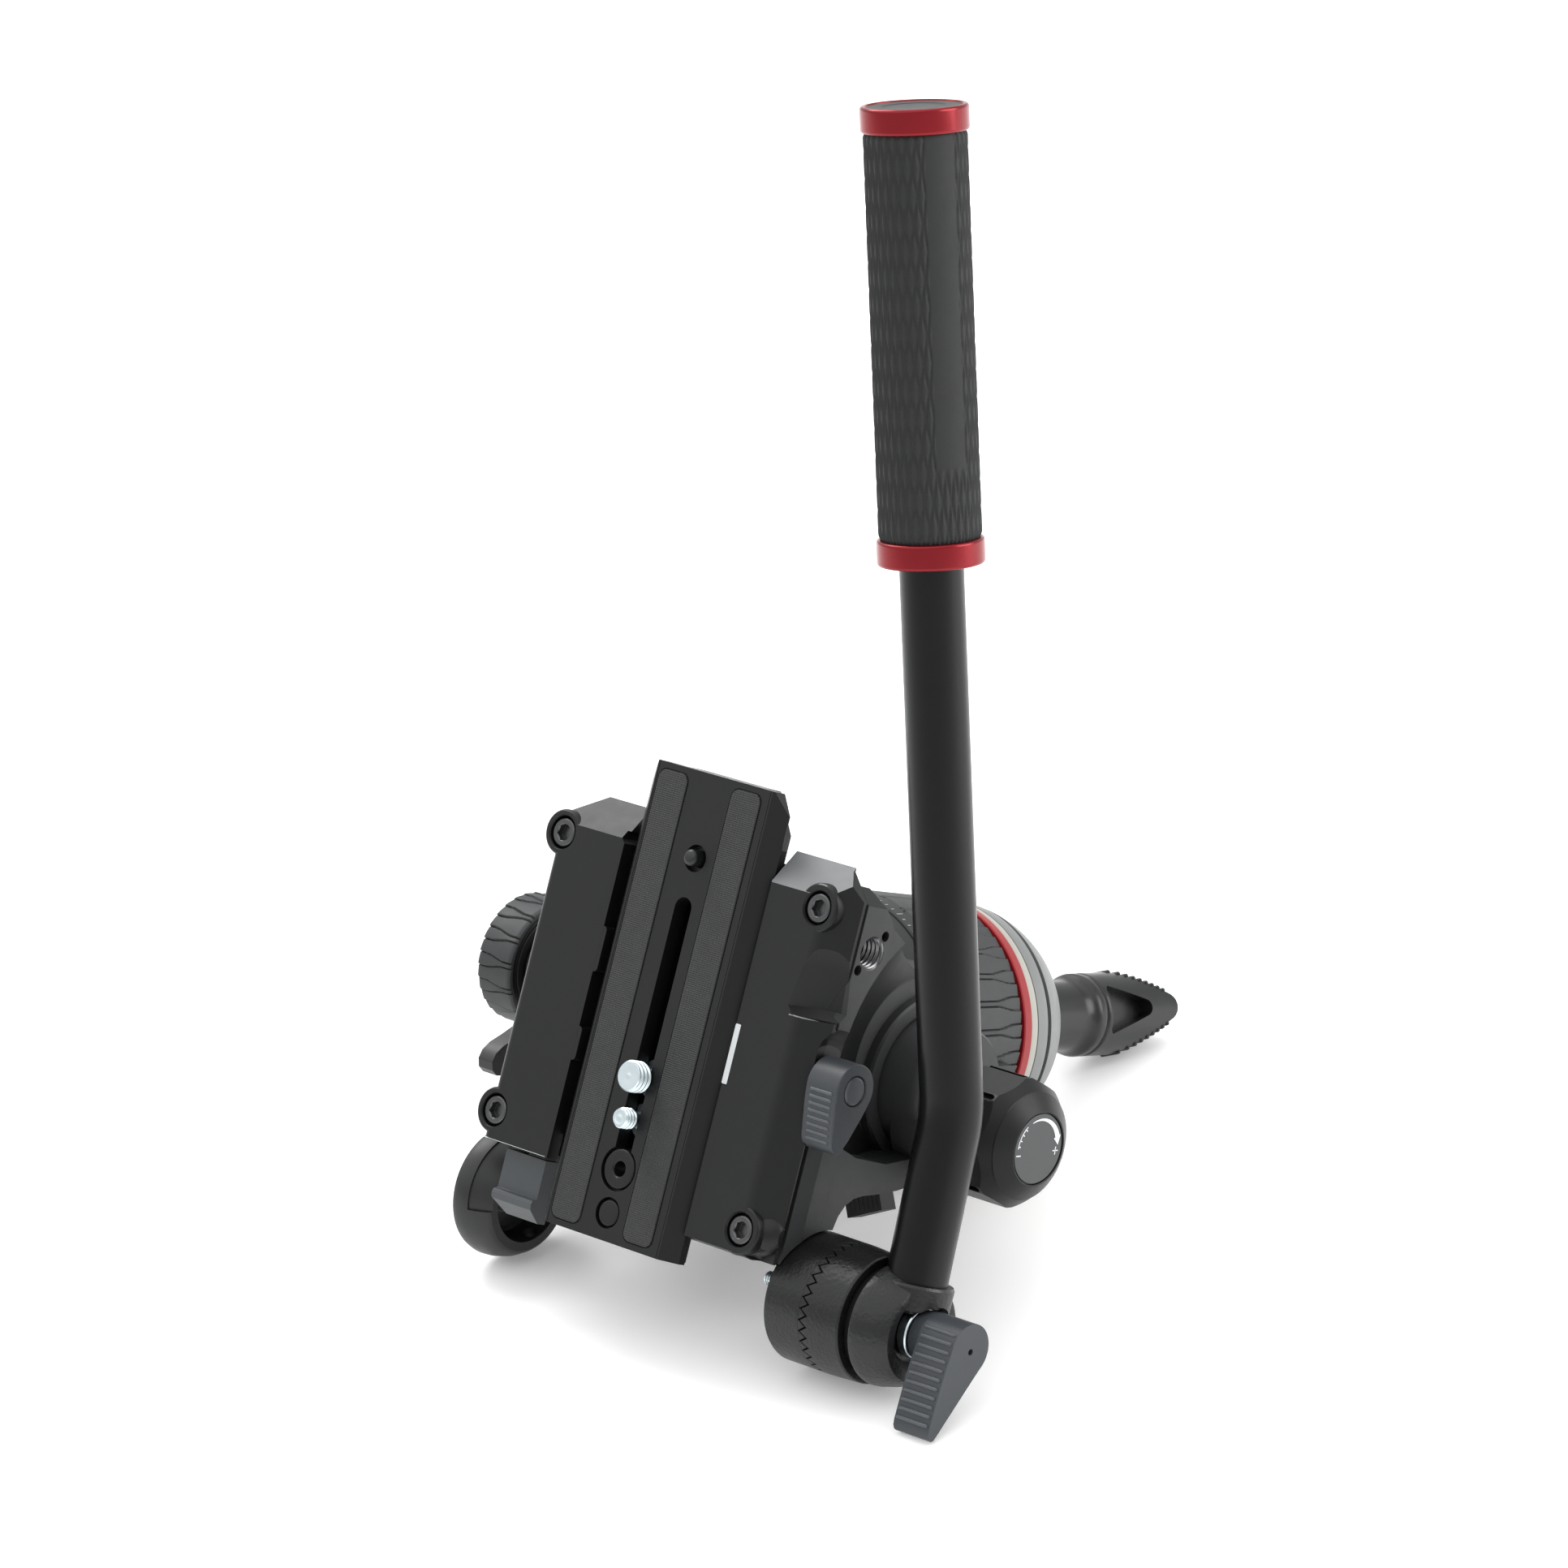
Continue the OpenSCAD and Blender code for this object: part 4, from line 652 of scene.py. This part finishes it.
ph = csg(lathe([(0, 5.2), (33.5, 5.2), (33.5, 41), (41.0, 41), (41.4, 41.4), (41.4, 46.1), (41.0, 46.5), (40.5, 46.6), (38.6, 49.8), (36, 53.6), (33, 57), (0, 57)], seg=144),
         ("+", csg(cyl(33, -42.4, 42.4, "x", (-4.4, 60.2), seg=144), ("*", block(-43, 43, -50, 50, 44, 100)))),
         ("-", cyl(14.1, 0, 36.4, seg=64)), ("-", cyl(2.95, 36, 50, "x", (0, 44.5), seg=32).mv(RZ(-66))), ("-", cyl(5.65, 48.15, 58, "z", (-12, 33.5), seg=56)),
         ("-", cyl(12.05, -43, -29, "x", (-4.4, 60.2), seg=64)), ("-", cyl(12.05, 29, 43, "x", (-4.4, 60.2), seg=64)))
piece("vis_pan_housing", ph, ROW, "pan", CAST_PAINTED_FILL, "pan_housing", bevel=0.7, seg=3)
ticks = []
for i in range(96):
    a = 360 * i / 96; L = 2.6 if i % 6 == 0 else 1.3
    ticks.append(block(41.35, 41.5, -0.2, 0.2, 45.6 - L, 45.6).mv(RZ(a)))
piece("vis_pan_marks", joined(*ticks), ROW, "pan", MARK_AND_HIGHLIGHT_GREY, smooth=False)

def shingle(n, lo, hi, amp, mid, blend, drop, phase=0.0):
    """Radial offset of strips whose dividing lines shift towards and away from each other along the length."""
    def f(a, h):
        u = a / (2 * math.pi) * n + phase
        i = math.floor(u)
        w = step(h, mid - blend, mid + blend)
        best = None
        for k in (i - 1, i, i + 1):
            l0 = k + (amp if k % 2 else -amp) * w; l1 = k + 1 + (amp if (k + 1) % 2 else -amp) * w
            if l0 <= u < l1:
                best = (u - l0) / (l1 - l0), (l1 - l0); break
        if best is None: return 0.0
        t, wd = best
        e = min(t, 1 - t) * wd
        return drop * (t - 0.5) - 0.55 * (1 - step(e, 0.02, 0.075))
    return f

def ring_skin(name, n, lo, hi, r_lo, r_hi, inner, per, nh, axis, c, amp, blend, body, mat, rep, frm, drop=0.5, scallop=0.0, ends=0.7, pinch=0.0):
    sh = shingle(n, lo, hi, amp, pinch, blend, drop)
    def fn(a, h):
        e = min(1.0, min(h - lo, hi - h) / ends)
        return r_lo + (r_hi - r_lo) * (h - lo) / (hi - lo) - 0.55 + sh(a, h) - 0.6 * (1 - e)
    s = radial(fn, lo, hi, n * per, nh, axis, c, inner=inner)
    if scallop:
        ns = n * per
        for q in range(ns):
            u = q / per; d = abs((u + 0.5) % 1.0 - 0.5)
            s.v[q].z += scallop * (1 - step(d, 0.1, 0.24)); s.v[ns * (nh + 2) + q].z += scallop * (1 - step(d, 0.1, 0.24))
    return piece(name, s, frm, body, mat, rep, weighted=False)
ring_skin("vis_pan_drag_ring", 58, 5.1, 40.5, 38.8, 42.0, 34.0, 18, 44, "z", (0, 0), 0.3, 4.5, "pan_drag", RUBBER, "pan_drag_ring", ROW, scallop=0.9, pinch=13)
tab = csg(prism(rrect(-3.6, 3.6, 10.4, 29, 3.4, 8), 38.6, 41.6, "x"), ("-", block(41.3, 43, -1.0, -0.55, 18, 21.5)), ("-", block(41.3, 43, 0.0, 0.45, 18, 21.5)), ("-", block(41.3, 43, 1.0, 1.45, 18, 21.5)))
piece("vis_pan_drag_tab", tab, ROW @ RZ(-9.5), "pan_drag", RUBBER, bevel=0.35, seg=3)
ring_skin("vis_tilt_drag_rubber", 30, -119, -105, 20.7, 20.7, 18.55, 18, 26, "x", (-4.4, 60.2), 0.3, 4.0, "tilt_drag", RUBBER, "tilt_drag_rubber", ROW, drop=0.45, pinch=-112)

piece("vis_tilt_drag_hub", csg(lathe([(0, -118.7), (15.5, -118.7), (16.2, -118.4), (18.5, -118.2), (18.5, -105.7), (16.8, -105.7), (16.8, -104.6), (0, -104.6)], "x", (-4.4, 60.2), 112),
      ("-", cyl(6.06, -117, -104, "x", (-4.4, 60.2), seg=48)), ("-", lathe([(11.5, -119), (12.5, -119), (12.2, -118.2), (11.8, -118.2)], "x", (-4.4, 60.2), 96, ring=True))), ROW, "tilt_drag", PLASTIC, "tilt_drag_hub", bevel=0.3)
thl = lathe([(0, -116), (6, -116), (6, -104), (14.2, -104), (14.5, -103.6), (14.5, -93.9), (14.2, -93.5), (9, -93.5), (9, -83.4), (18.4, -83.4), (19, -82.8), (19, -58), (18.6, -57.5), (17.3, -57.3), (17.3, -42.7), (12, -42.6), (12, -29.5), (0, -29.5)], "x", (-4.4, 60.2), 112)
piece("vis_tilt_hub_left", thl, ROW, "pan", CAST_PAINTED_FILL, "tilt_hub_left", bevel=0.3)

TL = TILT @ RX(33)
tll = csg(lathe([(0, -93), (12.8, -93), (13.5, -92.4), (13.5, -84.6), (12.8, -84), (0, -84)], "x", (0, 0), 96),
          ("+", prism([(-7.5, 6), (-4.4, 16), (-3.2, 30), (-3.9, 38), (-4.6, 43), (-4.2, 46.6), (-2.6, 49.0), (0, 49.9), (2.6, 49.0), (4.2, 46.6), (4.6, 43), (3.9, 38), (3.2, 30), (4.4, 16), (7.5, 6)], -91.6, -85.4, "x")),
          ("-", cyl(9.06, -94, -83, "x", seg=64)))
piece("vis_tilt_lock_lever", tll, TL, "tilt_lock", PLASTIC, "tilt_lock_lever", bevel=1.6, seg=4)
piece("vis_tilt_lock_ribs", joined(*[rib((-90, -3.85 - 0.1 * i, 37.5 + 1.7 * i), (-87, -3.85 - 0.1 * i, 37.5 + 1.7 * i), 0.5) for i in range(5)]), TL, "tilt_lock", PLASTIC)

PL = ROW @ RZ(-66)
pll = csg(block(46, 56.9, -7, 7, 41.5, 47.9), ("+", cyl(5, 43, 47, "x", (0, 44.5), seg=48)), ("+", cyl(2.9, 36.4, 47, "x", (0, 44.5), seg=40)))
piece("vis_pan_lock_lever", pll, PL, "pan_lock", KNOB, "pan_lock_lever", bevel=1.0, seg=3)
piece("vis_pan_lock_ribs", joined(*[rib((56.6, -5.4 + 1.8 * i, 42.9), (56.6, -5.4 + 1.8 * i, 46.7), 0.4) for i in range(7)], *[rib((48.5, -5.4 + 1.8 * i, 47.6), (55.6, -5.4 + 1.8 * i, 47.6), 0.4) for i in range(7)]), PL, "pan_lock", KNOB)

# ------------------------------------------------------------------ base
def on_ball(h): return math.sqrt(37.5 ** 2 - h * h)
prof = [(0, -32), (on_ball(-32) - 0.6, -32)]
prof += [(on_ball(h), h) for h in [-31.6 + 20.3 * i / 34 for i in range(35)]]
prof += [(on_ball(-11.25), -11.25), (35.2, -11.1), (33.4, -11.0), (33.4, -9.1), (35.4, -9.0), (on_ball(-8.9), -8.9)]
prof += [(on_ball(h), h) for h in [-8.75 + 5.35 * i / 12 for i in range(13)]] + [(37.0, -3.3), (30, -3.3), (30, -6), (14.1, -6), (14.1, -14), (0, -14)]
piece("vis_half_ball", lathe(prof, seg=176), ROW, "base", BALL, "half_ball", bevel=0.15)
# dark ring laid in the ball's groove: painted shade so the groove reads as a dark crescent
piece("vis_ball_groove_painted_shade", lathe([(34.0 + 0.85 * math.cos(math.pi * i / 8), -10.05 + 0.85 * math.sin(math.pi * i / 8)) for i in range(16)], seg=160, ring=True), ROW, "base", RUBBER)
piece("vis_ball_ring", lathe([(30, -3.22), (36.9, -3.22), (37.3, -3.0), (37.6, -1.8), (37.85, -0.2), (37.75, 0.28), (30, 0.28)], seg=176, ring=True), ROW, "base", CREAM, "ball_ring")
piece("vis_red_ring", lathe([(30, 0.36), (37.7, 0.36), (38.05, 0.6), (38.25, 1.4), (38.75, 4.3), (38.5, 4.75), (37.5, 4.8), (30, 4.8)], seg=176, ring=True), ROW, "base", RED2, "red_ring")

TD = ROW @ RZ(21)
hollow = [(-7.6, -70.2)] + arc((0, -85.6), 2.6, 205, 335, 10) + [(7.6, -70.2), (6.4, -68.8), (-6.4, -68.8)]
td = csg(lathe([(0, -101.5), (13, -101.5), (13, -67.6), (12.75, -67.1), (12.35, -66.8), (12.35, -66.3), (12.8, -65.9), (13, -65.2), (13, -63.6), (12.8, -62.8), (12.3, -62.0), (11.6, -61.0), (11.15, -59.4), (11, -57.5), (11, -43.0), (10.4, -42.1), (0, -42.1)], seg=144),
         ("*", prism([(-14, -40), (14, -40), (14, -77.2)] + arc((0, -96.5), 4.35, -25, -155, 16) + [(-14, -77.2)], -14, 14, "x")),
         ("-", prism(hollow, 7.6, 16, "x")), ("-", prism(hollow, -16, -7.6, "x")),
         ("-", cyl(5.1, -83, -41, seg=48)))
piece("vis_tie_down_knob", td, TD, "tie_down", TIE, "tie_down_knob", bevel=0.9, seg=4)
trib = []
for i in range(10):
    z = -78.4 - 1.95 * i; t = max(0.0, (z + 79.3) / (-98.4 + 79.3)); y = 13 + (4.0 - 13) * t; half = math.sqrt(max(1, 13 ** 2 - y * y)) - 0.3
    if half < 2: continue
    for q in (-1, 1): trib.append(rib((-half, q * (y + 0.05), z), (half, q * (y + 0.05), z), 0.8))
piece("vis_tie_down_ribs", joined(*trib), TD, "tie_down", TIE)
piece("vis_tie_down_washer", lathe([(5.3, -42), (10.3, -42), (10.9, -41.6), (15.8, -37.9), (15.6, -37.5), (5.3, -37.5)], seg=96, ring=True), ROW, "tie_down", PLASTIC, "tie_down_washer")

# ------------------------------------------------------------------ CAD nodes that stay: finish by slot
BY_SLOT = {"casting": CAST, "ball": BALL, "cream": CREAM, "red": RED, "steel": STEEL, "dark_steel": OXIDE, "bright": ZINC,
           "black_plastic": PLASTIC, "slate": SLATE, "rubber": RUBBER, "pad": PAD, "plate_black": PLATE, "tube_black": TUBE,
           "bronze": OXIDE, "vial": VIAL, "disc": DISC}
slot_of = {s["node"]: s["material_slot"] for s in frame["record"]["subparts"]}
for n, o in NODES.items():
    o.data.materials.clear(); o.data.materials.append(BY_SLOT[slot_of[n]])
    if not o.hide_render:
        b = o.modifiers.new("bevel", "BEVEL"); b.width = 0.0004; b.segments = 2; b.limit_method = "ANGLE"
        b.angle_limit = math.radians(35); b.use_clamp_overlap = True
        for p in o.data.polygons: p.use_smooth = True
        o.modifiers.new("normals", "WEIGHTED_NORMAL").keep_sharp = True

# ------------------------------------------------------------------ floor and light
N = Vector((0.00584, 0.93401, 0.35721)).normalized()
foot = Vector((0.02, -0.06, 0.05)); foot = foot - N * (foot.dot(N) + 0.04285)
side = rt - N * rt.dot(N); side.normalize(); back = N.cross(side)
me = bpy.data.meshes.new("floor")
H = 6.0
me.from_pydata([tuple(foot + side * (a * H) + back * (b * H)) for a, b in ((-1, -1), (1, -1), (1, 1), (-1, 1))], [], [(0, 1, 2, 3)])
fo = bpy.data.objects.new("floor", me); bpy.context.scene.collection.objects.link(fo)
if me.polygons[0].normal.dot(N) < 0: me.flip_normals()
m, nt, b = shader("floor_white")
b.inputs["Base Color"].default_value = (0.9, 0.9, 0.895, 1); b.inputs["Roughness"].default_value = 0.55
b.inputs["Specular IOR Level"].default_value = 0.3
b.inputs["Emission Color"].default_value = (1, 1, 1, 1); b.inputs["Emission Strength"].default_value = 0.17
tcf = nt.nodes.new("ShaderNodeTexCoord").outputs["Object"]
fn = ramp(nt, noise_tex(nt, tcf, 3.0, 3), [(0.3, (0.90, 0.90, 0.895)), (0.7, (0.915, 0.915, 0.91))])
nt.links.new(fn, b.inputs["Base Color"])
geo = nt.nodes.new("ShaderNodeNewGeometry"); tr = nt.nodes.new("ShaderNodeBsdfTransparent"); mx = nt.nodes.new("ShaderNodeMixShader")
nt.links.new(geo.outputs["Backfacing"], mx.inputs[0]); nt.links.new(b.outputs[0], mx.inputs[1]); nt.links.new(tr.outputs[0], mx.inputs[2])
nt.links.new(mx.outputs[0], [n for n in nt.nodes if n.type == "OUTPUT_MATERIAL"][0].inputs[0])
me.materials.append(m)

w = bpy.data.worlds.new("studio"); w.use_nodes = True; bpy.context.scene.world = w
w.node_tree.nodes["Background"].inputs[0].default_value = (0.99, 1.0, 1.0, 1); w.node_tree.nodes["Background"].inputs[1].default_value = 0.78

def softbox(name, pos, look, size, power, size_y=None):
    l = bpy.data.lights.new(name, "AREA"); l.shape = "RECTANGLE"; l.size = size; l.size_y = size_y or size; l.energy = power
    o = bpy.data.objects.new(name, l); bpy.context.scene.collection.objects.link(o)
    o.location = pos; o.rotation_mode = "QUATERNION"; o.rotation_quaternion = (Vector(look) - Vector(pos)).to_track_quat("-Z", "Y")
    return o

mid = Vector((0.0, 0.05, 0.08))
def sun(name, frm, power, angle):
    l = bpy.data.lights.new(name, "SUN"); l.energy = power; l.angle = math.radians(angle)
    o = bpy.data.objects.new(name, l); bpy.context.scene.collection.objects.link(o)
    o.location = mid + Vector(frm); o.rotation_mode = "QUATERNION"; o.rotation_quaternion = (-Vector(frm)).to_track_quat("-Z", "Y")
sun("key", (-0.30, 0.90, 0.42), 1.9, 110)
softbox("facet", mid + Vector((-0.65, 0.75, 0.11)) * 1.9, mid, 0.9, 15)
softbox("right", mid + side * 1.9 + N * 0.75 - back * 0.2, mid, 1.3, 27)
